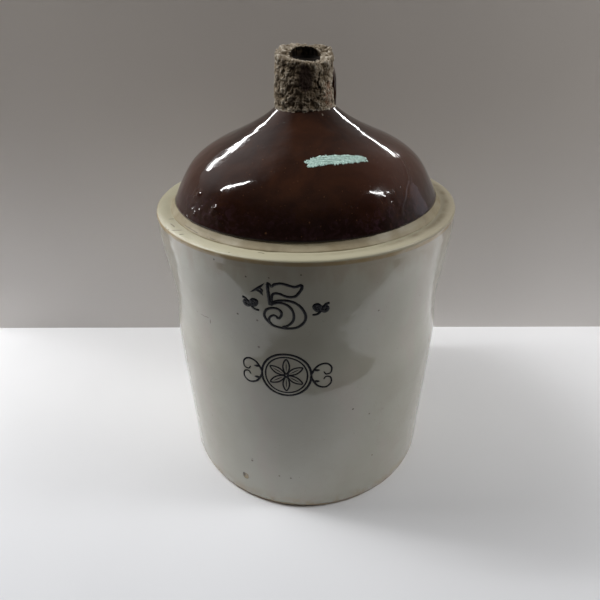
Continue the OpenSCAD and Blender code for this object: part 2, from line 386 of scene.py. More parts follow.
def cellsOf(tree, place, size, **values):
    made = node(tree, "ShaderNodeTexVoronoi", **values)
    feed(tree, made.inputs["Vector"], place)
    feed(tree, made.inputs["Scale"], scaleOf(tree, size))
    return made.outputs


def axesOf(tree, place):
    made = node(tree, "ShaderNodeSeparateXYZ")
    feed(tree, made.inputs[0], place)
    return made.outputs


def newGroup(name, settings, output="Mask"):
    # a group that takes a place and its settings and gives one value
    group = bpy.data.node_groups.new(name, "ShaderNodeTree")
    for label, value in {"Place": (0, 0, 0), **settings}.items():
        kind = "NodeSocketVector" if isinstance(value, tuple) else "NodeSocketFloat"
        group.interface.new_socket(label, in_out="INPUT", socket_type=kind).default_value = value
    group.interface.new_socket(output, in_out="OUTPUT", socket_type="NodeSocketFloat")
    return group, node(group, "NodeGroupInput").outputs, node(group, "NodeGroupOutput").inputs[0]


def use(tree, group, place, **values):
    made = node(tree, "ShaderNodeGroup", node_tree=group)
    for key, value in {"Place": place, **values}.items():
        feed(tree, made.inputs[key], value)
    return made.outputs[0]


def newMaterial(name):
    # a material, its node tree and the place on the jug in millimetres
    material = bpy.data.materials.new(name)
    material.use_nodes = True
    tree = material.node_tree
    where = node(tree, "ShaderNodeTexCoord").outputs["Object"]
    return material, tree, vectorMaths(tree, "SCALE", where, 1 / mm)


def dress(material, colour, roughness, height=None, deep=0.4, ior=None, specular=None):
    # the finished values into the material's shader; deep is the relief's depth in millimetres
    tree = material.node_tree
    sockets = tree.nodes["Principled BSDF"].inputs
    feed(tree, sockets["Base Color"], colour)
    feed(tree, sockets["Roughness"], roughness)
    feed(tree, sockets["IOR"], ior)
    feed(tree, sockets["Specular IOR Level"], specular)
    if height is not None:
        relief = node(tree, "ShaderNodeBump")
        relief.inputs["Distance"].default_value = deep * mm
        feed(tree, relief.inputs["Height"], height)
        feed(tree, sockets["Normal"], relief.outputs[0])
    return material


# Shared effects
def buildSpecks():
    # small round specks, some cells left empty
    group, given, out = newGroup("specks", {"Size": 4.0, "Share": 0.2, "Radius": 0.12})
    softEdge = 0.06
    cells = cellsOf(group, given["Place"], given["Size"])
    draws = node(group, "ShaderNodeSeparateColor")
    feed(group, draws.inputs[0], cells["Color"])
    chosen = maths(group, "LESS_THAN", draws.outputs[0], given["Share"])
    reach = times(group, given["Radius"], span(group, draws.outputs[1], 0.0, 1.0, 0.5, 1.5))
    gap = maths(group, "SUBTRACT", cells["Distance"], reach)
    feed(group, out, times(group, span(group, gap, 0.0, softEdge, 1.0, 0.0), chosen))
    return group


def buildCrackle():
    # fine craze lines, broken up by a soft mask
    group, given, out = newGroup("crackle", {"Size": 9.0, "Width": 0.012})
    patchSize, waverSize, waver = 60, 8.3, 6.0
    wander = noiseMask(group, given["Place"], waverSize, output="Color")
    moved = vectorMaths(group, "ADD", vectorMaths(group, "SCALE", wander, waver), given["Place"])
    cells = cellsOf(group, moved, given["Size"], feature="DISTANCE_TO_EDGE")
    share = maths(group, "DIVIDE", cells["Distance"], given["Width"])
    patch = mottle(group, given["Place"], patchSize, 0.48, 0.62, detail=2.0)
    feed(group, out, times(group, span(group, share, 0.2, 1.0, 1.0, 0.0), patch))
    return group


def buildSpot():
    # one ragged spot about a centre, stretched by its own reach along each axis
    settings = {"Centre": (0, 0, 0), "Reach": (3, 3, 3), "Ragged": 0.3, "Grain": 1.5}
    group, given, out = newGroup("spot", settings)
    away = vectorMaths(group, "SUBTRACT", given["Place"], given["Centre"])
    share = vectorMaths(group, "DIVIDE", away, given["Reach"])
    length = vectorMaths(group, "LENGTH", share, output="Value")
    rough = noiseMask(group, given["Place"], given["Grain"])
    shift = times(group, maths(group, "SUBTRACT", rough, 0.5), given["Ragged"])
    feed(group, out, span(group, plus(group, length, shift), 0.8, 1.0, 1.0, 0.0))
    return group


def buildScratch():
    # a thin line from one point to another
    settings = {"From": (0, 0, 0), "To": (1, 0, 0), "Width": 0.4, "Waver": 1.0}
    group, given, out = newGroup("scratch", settings)
    waverSize, thinEnd = 2.9, 0.35
    wander = noiseMask(group, given["Place"], waverSize, output="Color")
    centred = vectorMaths(group, "SUBTRACT", wander, (0.5, 0.5, 0.5))
    moved = vectorMaths(group, "ADD", given["Place"], vectorMaths(group, "SCALE", centred, given["Waver"]))
    fromStart = vectorMaths(group, "SUBTRACT", moved, given["From"])
    whole = vectorMaths(group, "SUBTRACT", given["To"], given["From"])
    reached = vectorMaths(group, "DOT_PRODUCT", fromStart, whole, "Value")
    full = vectorMaths(group, "DOT_PRODUCT", whole, whole, "Value")
    along = maths(group, "DIVIDE", reached, full, clamp=True)
    gap = vectorMaths(group, "DISTANCE", fromStart, vectorMaths(group, "SCALE", whole, along), "Value")
    share = maths(group, "DIVIDE", gap, given["Width"])
    fromMiddle = maths(group, "ABSOLUTE", maths(group, "SUBTRACT", along, 0.5))
    taper = span(group, fromMiddle, 0.3, 0.5, 1.0, thinEnd)
    feed(group, out, span(group, maths(group, "DIVIDE", share, taper), 0.35, 1.0, 1.0, 0.0))
    return group


def buildGlazeFlow():
    # the skin of a fired glaze: slow ripples, fine orange peel and pinholes, as one height
    settings = {"Ripple": 22.0, "Peel": 2.6, "Peel Share": 0.12, "Pinholes": 0.12}
    group, given, out = newGroup("glaze flow", settings, "Height")
    holeDepth = 0.25
    slow = noiseMask(group, given["Place"], given["Ripple"], 1.5)
    fine = times(group, noiseMask(group, given["Place"], given["Peel"], 1.0), given["Peel Share"])
    holes = use(group, specks, given["Place"], Size=5.0, Share=given["Pinholes"], Radius=0.05)
    feed(group, out, plus(group, slow, fine, times(group, holes, -holeDepth)))
    return group


specks = buildSpecks()
crackle = buildCrackle()
spot = buildSpot()
scratch = buildScratch()
glazeFlow = buildGlazeFlow()
print("shared effects made")


def onSurface(turnDegrees, radius, z):
    a = math.radians(turnDegrees)
    return (radius * math.sin(a), -radius * math.cos(a), z)


def glazeSkin(tree, place, ripple=22.0, peel=2.6, peelShare=0.12, pinholes=0.12):
    values = {"Ripple": ripple, "Peel": peel, "Peel Share": peelShare, "Pinholes": pinholes}
    return use(tree, glazeFlow, place, **values)


def spotMask(tree, place, centre, reach, ragged, grain):
    return use(tree, spot, place, Centre=centre, Reach=reach, Ragged=ragged, Grain=grain)


def speckle(tree, place, colour, tone, kinds):
    # each kind of speck has its size, share, radius and strength
    for size, share, radius, strength in kinds:
        dots = use(tree, specks, place, Size=size, Share=share, Radius=radius)
        colour = tint(tree, colour, tone, dots, strength)
    return colour


def addCuts(tree, place, colour, cuts):
    for start, stop, width, tone, share in cuts:
        ends = {"From": onSurface(*start), "To": onSurface(*stop)}
        cut = use(tree, scratch, place, Width=width, Waver=1.6, **ends)
        colour = tint(tree, colour, tone, cut, share)
    return colour


# Cream glaze
creamLook = {
    "body": (0.460, 0.450, 0.384),
    "thin": (0.415, 0.392, 0.320),
    "blush": (0.465, 0.414, 0.365),
    "ledge": (0.410, 0.385, 0.275),
    "warm": (0.330, 0.270, 0.195),
    "ochre": (0.345, 0.245, 0.105),
    "darkening": (0.17, 0.135, 0.085),
    "speck": (0.085, 0.06, 0.04),
    "chip": (0.33, 0.25, 0.13),
    "chipCore": (0.07, 0.05, 0.03),
    "roughness": 0.075,
    "wear": 0.09,
    "ior": 1.7,
    "ripple": 24.0,
    "ridges": 0.14,
    # heights between which each tone comes or goes
    "shadeComes": (284.0, 308.0),
    "ochreComes": (307.2, 308.6),
    "ochreGoes": (310.6, 311.8),
    "ledgeComes": (310.4, 311.8),
    "footGoes": (4.0, 24.0),
    # radii between which the dirt of the ledge's channel comes and goes
    "channelComes": (137.0, 141.0),
    "channelGoes": (141.5, 146.5),
    # the chip above the foot and its dark core: centre, reach, raggedness and grain
    "chipSpot": (onSurface(-20.7, 146.4, 33.0), (4.2, 4.2, 5.4), 0.5, 2.0),
    "coreSpot": (onSurface(-21.5, 146.4, 34.6), (2.0, 2.0, 3.6), 0.5, 1.4),
    # iron specks and small ones: size, share, radius and strength
    "specks": [(13.0, 0.16, 0.045, 0.7), (5.0, 0.10, 0.05, 0.3)],
}
# dots on the glaze: turn, radius, height, size, tone
creamDots = [
    (-16.5, 147.0, 64.0, 1.5, (0.13, 0.10, 0.07)), (24.8, 148.3, 146.0, 1.0, (0.04, 0.03, 0.02)),
    (35.9, 146.8, 65.7, 0.9, (0.06, 0.045, 0.03)), (-4.3, 151.2, 296.5, 1.0, (0.05, 0.045, 0.04)),
    (-11.8, 151.2, 295.0, 1.1, (0.09, 0.08, 0.07)), (-23.0, 151.3, 304.5, 0.9, (0.05, 0.045, 0.04)),
    (-16.6, 148.2, 254.0, 1.1, (0.10, 0.09, 0.075)), (5.5, 151.3, 300.5, 0.8, (0.05, 0.04, 0.03)),
    (-48.1, 150.4, 312.6, 1.5, (0.05, 0.035, 0.02)), (-17.6, 148.9, 313.6, 1.3, (0.09, 0.07, 0.04)),
]
# scratches and hairlines: start and stop as turn, radius and height, then width, tone and share
creamCuts = [
    ((-57.0, 143.2, 312.1), (-56.7, 137.6, 311.7), 1.0, (0.10, 0.08, 0.05), 0.9),
    ((-52.4, 144.2, 312.1), (-48.3, 143.8, 312.1), 1.0, (0.12, 0.09, 0.06), 0.9),
    ((-46.5, 149.0, 311.9), (-44.0, 140.9, 312.1), 1.1, (0.12, 0.09, 0.06), 0.9),
    ((-41.3, 148.1, 312.1), (-40.4, 144.5, 312.2), 1.3, (0.07, 0.05, 0.03), 0.9),
    ((-9.0, 141.0, 312.9), (-6.4, 141.6, 312.9), 0.8, (0.06, 0.05, 0.03), 0.9),
    ((-40.0, 146.6, 236.5), (-36.6, 146.5, 235.0), 0.6, (0.12, 0.11, 0.09), 0.75),
    ((-36.6, 146.5, 235.0), (-30.4, 146.5, 235.8), 0.6, (0.12, 0.11, 0.09), 0.75),
    ((-30.4, 146.5, 235.8), (-30.9, 146.4, 226.0), 0.8, (0.07, 0.065, 0.05), 0.8),
    ((-17.2, 147.0, 67.5), (-15.6, 147.0, 66.5), 0.6, (0.10, 0.08, 0.06), 0.8),
]
# the groove along the band's foot
bandCuts = [
    ((-49.6, 136.6, 313.6), (-35.2, 137.0, 313.6), 0.5, (0.07, 0.05, 0.03), 0.85),
    ((-35.2, 137.0, 313.6), (-23.7, 137.2, 313.6), 0.5, (0.07, 0.05, 0.03), 0.85),
]


def buildCreamGlaze(look):
    material, tree, place = newMaterial("cream glaze")
    x, _, z = axesOf(tree, place)
    flat = vectorMaths(tree, "MULTIPLY", place, (1, 1, 0))
    r = vectorMaths(tree, "LENGTH", flat, output="Value")
    colour = blendColour(tree, mottle(tree, place, 70, 0.35, 0.7, 0.0, 0.6), look["body"], look["thin"])
    # faint rosy clouds, drawn out downwards
    drawn = vectorMaths(tree, "MULTIPLY", place, (1, 1, 0.35))
    colour = tint(tree, colour, look["blush"], mottle(tree, drawn, 34, 0.48, 0.68, 0.0, 0.55, rough=0.6))
    # painted shade: brownish under the lip, deepening towards it; yellower on the ledge, where the glaze lies
    # thin
    drips = mottle(tree, drawn, 18, 0.35, 0.65, -7.0, 7.0)
    underLipShade = span(tree, plus(tree, z, drips), *look["shadeComes"], 0.0, 0.45)
    colour = tint(tree, colour, look["warm"], underLipShade)
    top = span(tree, z, *look["ledgeComes"])
    colour = tint(tree, colour, look["ledge"], top)
    # the ledge browner towards the right
    colour = tint(tree, colour, look["warm"], top, span(tree, x, 50.0, 150.0, 0.0, 0.5))
    # ochre line where the glaze has drawn back under the lip
    lip = between(tree, z, look["ochreComes"], look["ochreGoes"])
    colour = tint(tree, colour, look["ochre"], lip, mottle(tree, place, 9, 0.25, 0.6, 0.55, 1.0), 0.8)
    # tan tinge at the foot
    foot = span(tree, z, *look["footGoes"], 1.0, 0.0)
    colour = tint(tree, colour, look["ochre"], foot, mottle(tree, place, 16, 0.35, 0.65), 0.5)
    # darker in the channel of the ledge, most on the right
    channel = between(tree, r, look["channelComes"], look["channelGoes"])
    side = span(tree, x, -40.0, 130.0, 0.05, 0.70)
    channelPatches = mottle(tree, place, 16, 0.35, 0.7, 0.35, 1.0, 4.0, 0.6)
    darkening = times(tree, channel, top, side, channelPatches)
    colour = tint(tree, colour, look["darkening"], darkening)
    # craze lines, iron specks and the chip, then single dots and scratches
    colour = tint(tree, colour, look["darkening"], use(tree, crackle, place, Size=11.0), 0.14)
    colour = speckle(tree, place, colour, look["speck"], look["specks"])
    chip = spotMask(tree, place, *look["chipSpot"])
    colour = tint(tree, colour, look["chip"], chip)
    colour = tint(tree, colour, look["chipCore"], spotMask(tree, place, *look["coreSpot"]), 0.85)
    for turnDegrees, radius, high, size, tone in creamDots:
        dot = spotMask(tree, place, onSurface(turnDegrees, radius, high), (size, size, size), 0.7, 1.0)
        colour = tint(tree, colour, tone, dot, 0.85)
    colour = addCuts(tree, place, colour, creamCuts)
    # faint level ridges left by the forming tool
    level = vectorMaths(tree, "MULTIPLY", place, (0.22, 0.22, 1))
    ridges = times(tree, noiseMask(tree, level, 4.5, 2.0), look["ridges"])
    flow = glazeSkin(tree, place, look["ripple"], peelShare=0.08, pinholes=0.08)
    height = plus(tree, flow, ridges, times(tree, chip, -2.0))
    worn = mottle(tree, place, 22, 0.4, 0.75, look["roughness"], look["roughness"] + look["wear"], 4.0)
    roughness = plus(tree, worn, times(tree, darkening, 0.35), times(tree, top, 0.30))
    return dress(material, colour, roughness, height, ior=look["ior"])


bandLook = {"clay": (0.335, 0.293, 0.200), "thin": (0.265, 0.220, 0.138), "darkening": (0.12, 0.09, 0.055)}


def buildBandWash(look):
    # the smoothed luting clay under a thin wash
    material, tree, place = newMaterial("luting band wash")
    patches = noiseMask(tree, place, 24, 4.0)
    colour = blendColour(tree, span(tree, patches, 0.35, 0.68), look["clay"], look["thin"])
    colour = tint(tree, colour, look["darkening"], mottle(tree, place, 14, 0.5, 0.75, 0.0, 0.3))
    colour = speckle(tree, place, colour, look["darkening"], [(4.0, 0.25, 0.08, 0.5)])
    colour = addCuts(tree, place, colour, bandCuts)
    flow = glazeSkin(tree, place, 14.0, peelShare=0.2, pinholes=0.2)
    return dress(material, colour, span(tree, patches, 0.3, 0.7, 0.42, 0.58), flow)


# Brown glaze
brownLook = {
    "deep": (0.016, 0.0048, 0.0022),
    "warm": (0.032, 0.0100, 0.0038),
    "flank": (0.056, 0.0175, 0.0090),
    "streak": (0.080, 0.030, 0.015),
    "foot": (0.0085, 0.0028, 0.0020),
    "bloom": (0.040, 0.017, 0.024),
    "fleck": (0.12, 0.055, 0.024),
    "roughness": 0.065,
    "wear": 0.09,
    "ior": 1.52,
    # distances aside of the middle, and heights, between which each tone comes or goes
    "flankComes": (48.0, 108.0),
    "streakComes": (62.0, 112.0),
    "footGoes": (324.0, 354.0),
    "bloomGoes": (328.0, 352.0),
    # small and large flecks: size, share, radius and strength
    "flecks": [(3.0, 0.26, 0.09, 0.35), (9.0, 0.22, 0.06, 0.5)],
}


def buildBrownGlaze(look):
    material, tree, place = newMaterial("brown slip glaze")
    x, _, z = axesOf(tree, place)
    aside = maths(tree, "ABSOLUTE", x)
    depth = mottle(tree, place, 30, 0.32, 0.72, detail=5.0, rough=0.6, twist=0.6)
    colour = blendColour(tree, depth, look["deep"], look["warm"])
    # painted light: both flanks lighter and redder, where the side lamps fall on them
    offMiddle = maths(tree, "ABSOLUTE", plus(tree, x, 12.0))
    colour = tint(tree, colour, look["flank"], span(tree, offMiddle, *look["flankComes"], 0.0, 0.8))
    # painted shade: darker towards the foot of the dome, which faces the dim front, less so on the left
    drift = mottle(tree, place, 18, 0.0, 1.0, -12.0, 12.0)
    lowShade = span(tree, plus(tree, z, drift), *look["footGoes"], 0.95, 0.0)
    colour = tint(tree, colour, look["foot"], lowShade, span(tree, x, -105.0, -30.0, 0.55, 1.0))
    # thin runs down the flanks, and a bluish bloom low down
    drawn = vectorMaths(tree, "MULTIPLY", place, (1, 1, 0.12))
    runs = mottle(tree, drawn, 4.2, 0.52, 0.68, rough=0.6)
    colour = tint(tree, colour, look["streak"], runs, span(tree, aside, *look["streakComes"]), 0.45)
    low = span(tree, z, *look["bloomGoes"], 1.0, 0.0)
    outer = span(tree, aside, 20.0, 90.0, 0.4, 1.0)
    veil = mottle(tree, place, 7, 0.45, 0.7, detail=5.0, rough=0.65, twist=1.2)
    colour = tint(tree, colour, look["bloom"], low, outer, veil, 0.75)
    colour = speckle(tree, place, colour, look["fleck"], look["flecks"])
    worn = mottle(tree, place, 26, 0.45, 0.75, look["roughness"], look["roughness"] + look["wear"], 4.0)
    flow = glazeSkin(tree, place, 20.0, 2.8, 0.10, 0.2)
    return dress(material, colour, worn, flow, 0.35, look["ior"])


# Bare clay, lining, crust, paint and ink
clayLook = {
    "dark": (0.36, 0.27, 0.17),
    "light": (0.52, 0.42, 0.29),
    "grog": (0.20, 0.14, 0.09),
    "stain": (0.22, 0.17, 0.11),
}


def buildBareClay(look):
    material, tree, place = newMaterial("bare stoneware")
    grain = noiseMask(tree, place, 6, 5.0, 0.65)
    colour = blendColour(tree, span(tree, grain, 0.3, 0.7), look["dark"], look["light"])
    grog = use(tree, specks, place, Size=2.4, Share=0.3, Radius=0.16)
    colour = tint(tree, colour, look["grog"], grog, 0.6)
    colour = tint(tree, colour, look["stain"], mottle(tree, place, 30, 0.5, 0.7, 0.0, 0.5))
    grit = plus(tree, noiseMask(tree, place, 1.6), times(tree, grog, -0.4))
    return dress(material, colour, span(tree, grain, 0.2, 0.8, 0.75, 0.95), grit, 0.5)


# near-black tones of the lining: its own dark slip with painted shade from inside the jug
liningLook = {"deep": (0.004, 0.003, 0.002), "warm": (0.010, 0.006, 0.004)}


def buildLining(look):
    material, tree, place = newMaterial("slip lining with painted shade")
    drift = noiseMask(tree, place, 24, 4.0)
    colour = blendColour(tree, span(tree, drift, 0.3, 0.7), look["deep"], look["warm"])
    return dress(material, colour, span(tree, drift, 0.3, 0.7, 0.45, 0.65), glazeSkin(tree, place))


crustLook = {
    # tones from the deepest pits to the highest grains
    "ramp": [(0.10, (0.014, 0.010, 0.007)), (0.30, (0.085, 0.062, 0.038)), (0.52, (0.205, 0.165, 0.115)),
             (0.74, (0.31, 0.265, 0.205)), (0.95, (0.50, 0.45, 0.37))],
    "brown": (0.095, 0.066, 0.040),
    "flaked": (0.040, 0.024, 0.020),
    "rust": (0.26, 0.135, 0.085),
    "powder": (0.42, 0.41, 0.38),
    "powderGoes": (398.0, 402.5),
    # centre, reach, raggedness and grain of each spot
    "brownSpot": ((1.0, -27.0, 417.0), (17.0, 12.0, 26.0), 0.9, 5.0),
    "flakedSpot": ((3.0, -27.0, 426.5), (6.5, 9.0, 12.5), 1.0, 3.0),
    "rustSpot": ((22.5, -12.5, 412.0), (6.5, 8.0, 14.0), 0.8, 4.0),
}


def rampOf(tree, stops, level):
    made = node(tree, "ShaderNodeValToRGB")
    marks = made.color_ramp.elements
    marks[0].position = stops[0][0]
    marks[1].position = stops[-1][0]
    for position, _ in stops[1:-1]:
        marks.new(position)
    for mark, (_, tone) in zip(marks, stops):
        mark.color = (*tone, 1)
    feed(tree, made.inputs[0], level)
    return made.outputs[0]


def buildCrustMaterial(look):
    material, tree, place = newMaterial("mineral crust")
    hollow = node(tree, "ShaderNodeAttribute", attribute_name="hollow").outputs["Fac"]
    fine = noiseMask(tree, place, 2.0, 5.0, 0.7)
    level = plus(tree, hollow, span(tree, fine, 0.25, 0.75, -0.17, 0.17))
    colour = rampOf(tree, look["ramp"], level)
    patches = mottle(tree, place, 8, 0.50, 0.66, 0.0, 0.6, 4.0, 0.6, 0.8)
    colour = tint(tree, colour, look["brown"], patches)
    # browner over the front, darkest on the flaked patch, paler and rosier to the right
    colour = tint(tree, colour, look["brown"], spotMask(tree, place, *look["brownSpot"]), 0.6)
    colour = tint(tree, colour, look["flaked"], spotMask(tree, place, *look["flakedSpot"]), 0.85)
    streaks = mottle(tree, vectorMaths(tree, "MULTIPLY", place, (1, 1, 0.2)), 1.8, 0.42, 0.6)
    colour = tint(tree, colour, look["rust"], spotMask(tree, place, *look["rustSpot"]), streaks, 0.6)
    low = span(tree, axesOf(tree, place)[2], *look["powderGoes"], 1.0, 0.0)
    colour = tint(tree, colour, look["powder"], low, mottle(tree, place, 3, 0.42, 0.58, detail=4.0), 0.6)
    grit = plus(tree, noiseMask(tree, place, 0.9, 4.0, 0.7), noiseMask(tree, place, 2.6))
    return dress(material, colour, span(tree, fine, 0.2, 0.8, 0.82, 0.98), grit, 0.7, specular=0.3)


mintLook = {"shade": (0.26, 0.42, 0.37), "mint": (0.55, 0.72, 0.66), "worn": (0.16, 0.20, 0.165)}


def buildMintPaint(look):
    material, tree, place = newMaterial("mint paint")
    fine = noiseMask(tree, place, 1.6, 4.0, 0.65)
    colour = blendColour(tree, span(tree, fine, 0.35, 0.65), look["shade"], look["mint"])
    colour = tint(tree, colour, look["worn"], mottle(tree, place, 3.4, 0.56, 0.66, 0.0, 0.5, 4.0, 0.7))
    return dress(material, colour, span(tree, fine, 0.3, 0.7, 0.5, 0.72), fine, 0.3)


inkLook = {"deep": (0.0015, 0.002, 0.005), "bled": (0.014, 0.018, 0.032)}


def buildInk(look):
    material, tree, place = newMaterial("stamp ink")
    bleed = noiseMask(tree, place, 1.2, 4.0, 0.65)
    colour = blendColour(tree, span(tree, bleed, 0.52, 0.76), look["deep"], look["bled"])
    flow = glazeSkin(tree, place, creamLook["ripple"], pinholes=0.08)
    return dress(material, colour, span(tree, bleed, 0.3, 0.7, 0.25, 0.4), flow, specular=0.2)


creamGlaze = buildCreamGlaze(creamLook)
bandWash = buildBandWash(bandLook)
brownGlaze = buildBrownGlaze(brownLook)
bareClay = buildBareClay(clayLook)
shadedSlipLining = buildLining(liningLook)
crustStone = buildCrustMaterial(crustLook)
mintPaint = buildMintPaint(mintLook)
stampInk = buildInk(inkLook)
print("materials made")

# Crock body and its glaze
bodyShape = {
    "segments": 384,
    "wallStep": 3.2,
    "glazeFoot": 3.6,
    "glazeEdge": 2.2,   # height over which the glaze thins out at the foot
    "wallTop": 299,
    "lip": [(151.05, 303), (151.15, 306.8), (151.25, 309.8), (151.15, 311.2), (150.75, 312.1), (150.0, 312.7),
            (148.6, 313.1), (146.0, 313.3), (142.6, 313.3), (139.8, 313.1), (138.2, 312.9), (136.4, 312.9)],
    "lipDips": 0.22,
    "lipSpan": (306, 311),
    # the underside from its middle to the bevel: radius and height
    "bottom": [(0.02, 0.25), (60, 0.2), (118, 0.1)],
}


def bodySection():
    z = np.arange(bodyShape["glazeFoot"], bodyShape["wallTop"], bodyShape["wallStep"])
    wall = np.stack([wallRadius(z), z], axis=1)
    return np.concatenate([wall, evenly(curvy(bodyShape["lip"], 6), 0.5)])


def dressBody(line):
    # the turned skin of a line with waves, an uneven edge above the foot and dips along the lip
    skin = spin(line, bodyShape["segments"])
    height, foot = line[:, 1:], bodyShape["glazeFoot"]
    thinned = 1 - ramp(height, foot, foot + bodyShape["glazeEdge"])
    dips = ramp(height, *bodyShape["lipSpan"]) * bodyShape["lipDips"] * cloud(skin, 17, 3, 5.5)
    out = alongNormal(skin, line, potWaves(skin) - 0.75 * thinned ** 2 + dips)
    out[..., 2] += thinned * 0.8 * cloud(skin, 24, 3, 1.7)
    return out


def makeBody():
    line = bodySection()
    n = outward(line)
    under = dressBody((line - n * (jug["glaze"] * 0.95))[::2])
    rings = settle(np.concatenate([dressBody(line), under[::-1]]))
    ringPiece("bodyGlaze", rings, creamGlaze, "body_glaze")
    # the clay under the glaze, with the bare foot and the inside
    foot = jug["rim"] - jug["footIn"]
    bevel = foot - jug["bevel"]
    bottom = bodyShape["bottom"] + [(bevel - 2, 0.0), (bevel, 0.05), (foot - 1.2, 1.0), (foot - 0.25, 2.4)]
    inside, shelfTop = jug["dome"] - jug["domeWall"], jug["height"]
    ledgeEnd = [(inside + 2, shelfTop - 0.6)]
    bottom, ledgeEnd = (spin(np.array(part), bodyShape["segments"]) for part in (bottom, ledgeEnd))
    clay = dressBody(line - n * (jug["glaze"] + 0.05))[2:]
    outside = settle(np.concatenate([bottom, clay, ledgeEnd]))
    cornerZ = jug["floor"] + jug["cornerRadius"]
    wallZ = np.arange(shelfTop - 1.5 * jug["shelf"], cornerZ, -6.0)
    insideRadius = wallRadius(wallZ) - jug["glaze"] - jug["wall"]
    cornerR = float(wallRadius(cornerZ)) - jug["glaze"] - jug["wall"] - jug["cornerRadius"]
    inner = np.concatenate([
        [(inside, shelfTop - 0.7), (inside, shelfTop - jug["shelf"])],
        np.stack([insideRadius, wallZ], axis=1),
        arc((cornerR, cornerZ), jug["cornerRadius"], 0, -90),
        [(0.02, jug["floor"])]])
    rings = np.concatenate([outside, spin(inner, bodyShape["segments"])])
    ringPiece("crockBody", rings, bareClay, "crock_body", closed=False)


makeBody()
print("crock body made")

# The luting band at the foot of the dome
bandShape = {
    "segments": 384,
    "line": [(137.1, 312.4), (137.0, 313.2), (136.4, 313.9), (135.1, 314.9), (133.8, 316.1),
             (132.3, 317.8), (130.9, 319.4)],
    "back": [(130.1, 319.4), (130.1, 312.4)],
}


def makeBand():
    line = evenly(curvy(bandShape["line"], 5), 0.6)
    skin = spin(line, bandShape["segments"])
    skin = alongNormal(skin, line, 0.20 * cloud(skin, 15, 3, 6.6) + 0.08 * cloud(skin, 4, 2, 2.2))
    back = spin(np.array(bandShape["back"]), bandShape["segments"])
    rings = settle(np.concatenate([skin, back]))
    ringPiece("lutingBand", rings, bandWash, "luting_coil")


makeBand()

# Dome: clay shell and brown glaze
domeShape = {
    "segments": 420,
    "claySegments": 240,
    "hem": [(131.0, 319.1), (131.5, 319.3), (131.9, 319.8)],
    "hemHeight": 318.5,
    "hemWander": 0.7,
    "edgeBead": 0.30,
    "beadHeight": 320.6,
    "notchTurn": -52,
    "notchHigh": 1.6,
    "neckTop": 436.9,   # the crust hides the glazed neck's top
    # a run of glaze down the right side, from the shoulder to the foot
    "runTurns": (69, 47),
    "runHeights": (366, 330),
    "runComes": (368, 362),
    "runGoes": (326, 332),
}
# blisters: turn, height above the table, radius, rise
domeBumps = [(-44.6, 341.5, 2.8, 1.4), (-46.5, 338.0, 1.8, 0.6), (-31.3, 335.5, 2.9, 1.7),
             (-32.4, 331.6, 1.6, 0.8), (-28.8, 330.4, 1.5, 0.8), (-27.6, 327.4, 1.3, 0.7),
             (-42.7, 325.6, 2.2, 0.7), (-39.5, 330.2, 1.6, 0.5), (-45.0, 331.0, 1.9, -0.5),
             (-36.0, 326.4, 1.4, 0.45), (44.0, 341.0, 2.0, -0.5), (41.5, 344.0, 2.2, 0.4),
             (47.5, 336.4, 1.8, 0.35), (12.0, 328.0, 2.4, 0.3), (-52.0, 334.0, 2.4, 0.4)]


def domeSection():
    low = evenly(domeSkin, 1.15)
    low = low[low[:, 1] > 320.4]
    root = (neckRoot, crownHeight + jug["neckFillet"])
    fillet = arc(root, jug["neckFillet"] - jug["glaze"], -92, -180, 10)
    top = domeShape["neckTop"]
    r, edge = jug["neck"] + jug["glaze"] - 0.3, 2.8
    collar = [(r, z) for z in np.arange(408, 434, 3.0)]
    edgeTop = arc((r - edge, top - edge), edge, 0, 90, 8)
    inwards = [(18, top), (15, top), (13.65, top - 0.2)]
    return np.concatenate([domeShape["hem"], low[:-1], fillet, collar, edgeTop, inwards])


def dressDome(line):
    skin = spin(line, domeShape["segments"])
    radius, height = line[:, :1], line[:, 1:]
    degrees = np.degrees(fullCircle(domeShape["segments"]))
    far = domeWaves(skin) * np.clip((404 - skin[..., 2]) / 10, 0.15, 1)
    # a rolled, uneven lower edge of the brown glaze
    bead = domeShape["edgeBead"] + 0.25 * cloud(skin, 8, 2, 2.9)
    far = far + hill(height - domeShape["beadHeight"], 1.5) * bead
    for turnDegrees, z, reach, rise in domeBumps:
        away = np.radians(halfTurn(degrees - turnDegrees)) * radius
        far = far + rise * hill(np.hypot(away, (height - z) * 1.25), reach)
    # the run of glaze wavers and has a groove beside it
    start, stop = domeShape["runTurns"]
    runTurn = start + (stop - start) * ramp(height, *domeShape["runHeights"])
    onRun = ramp(height, *domeShape["runComes"]) * ramp(height, *domeShape["runGoes"])
    away = np.radians(halfTurn(degrees - runTurn)) * radius
    away = away + 1.3 * np.sin(height / 4.1) + 0.8 * np.sin(height / 1.7)
    far = far + onRun * (0.45 * hill(away, 1.5) - 0.4 * hill(away - 2.2, 0.9))
    out = alongNormal(skin, line, far)
    # the edge wanders up and down, with one notch on the left
    notch = domeShape["notchHigh"] * hill(halfTurn(degrees - domeShape["notchTurn"]), 0.9)
    wandering = domeShape["hemWander"] * cloud(skin, 20, 3, 7.3)
    out[..., 2] += hill(height - domeShape["hemHeight"], 1.6) * (wandering + notch)
    return out


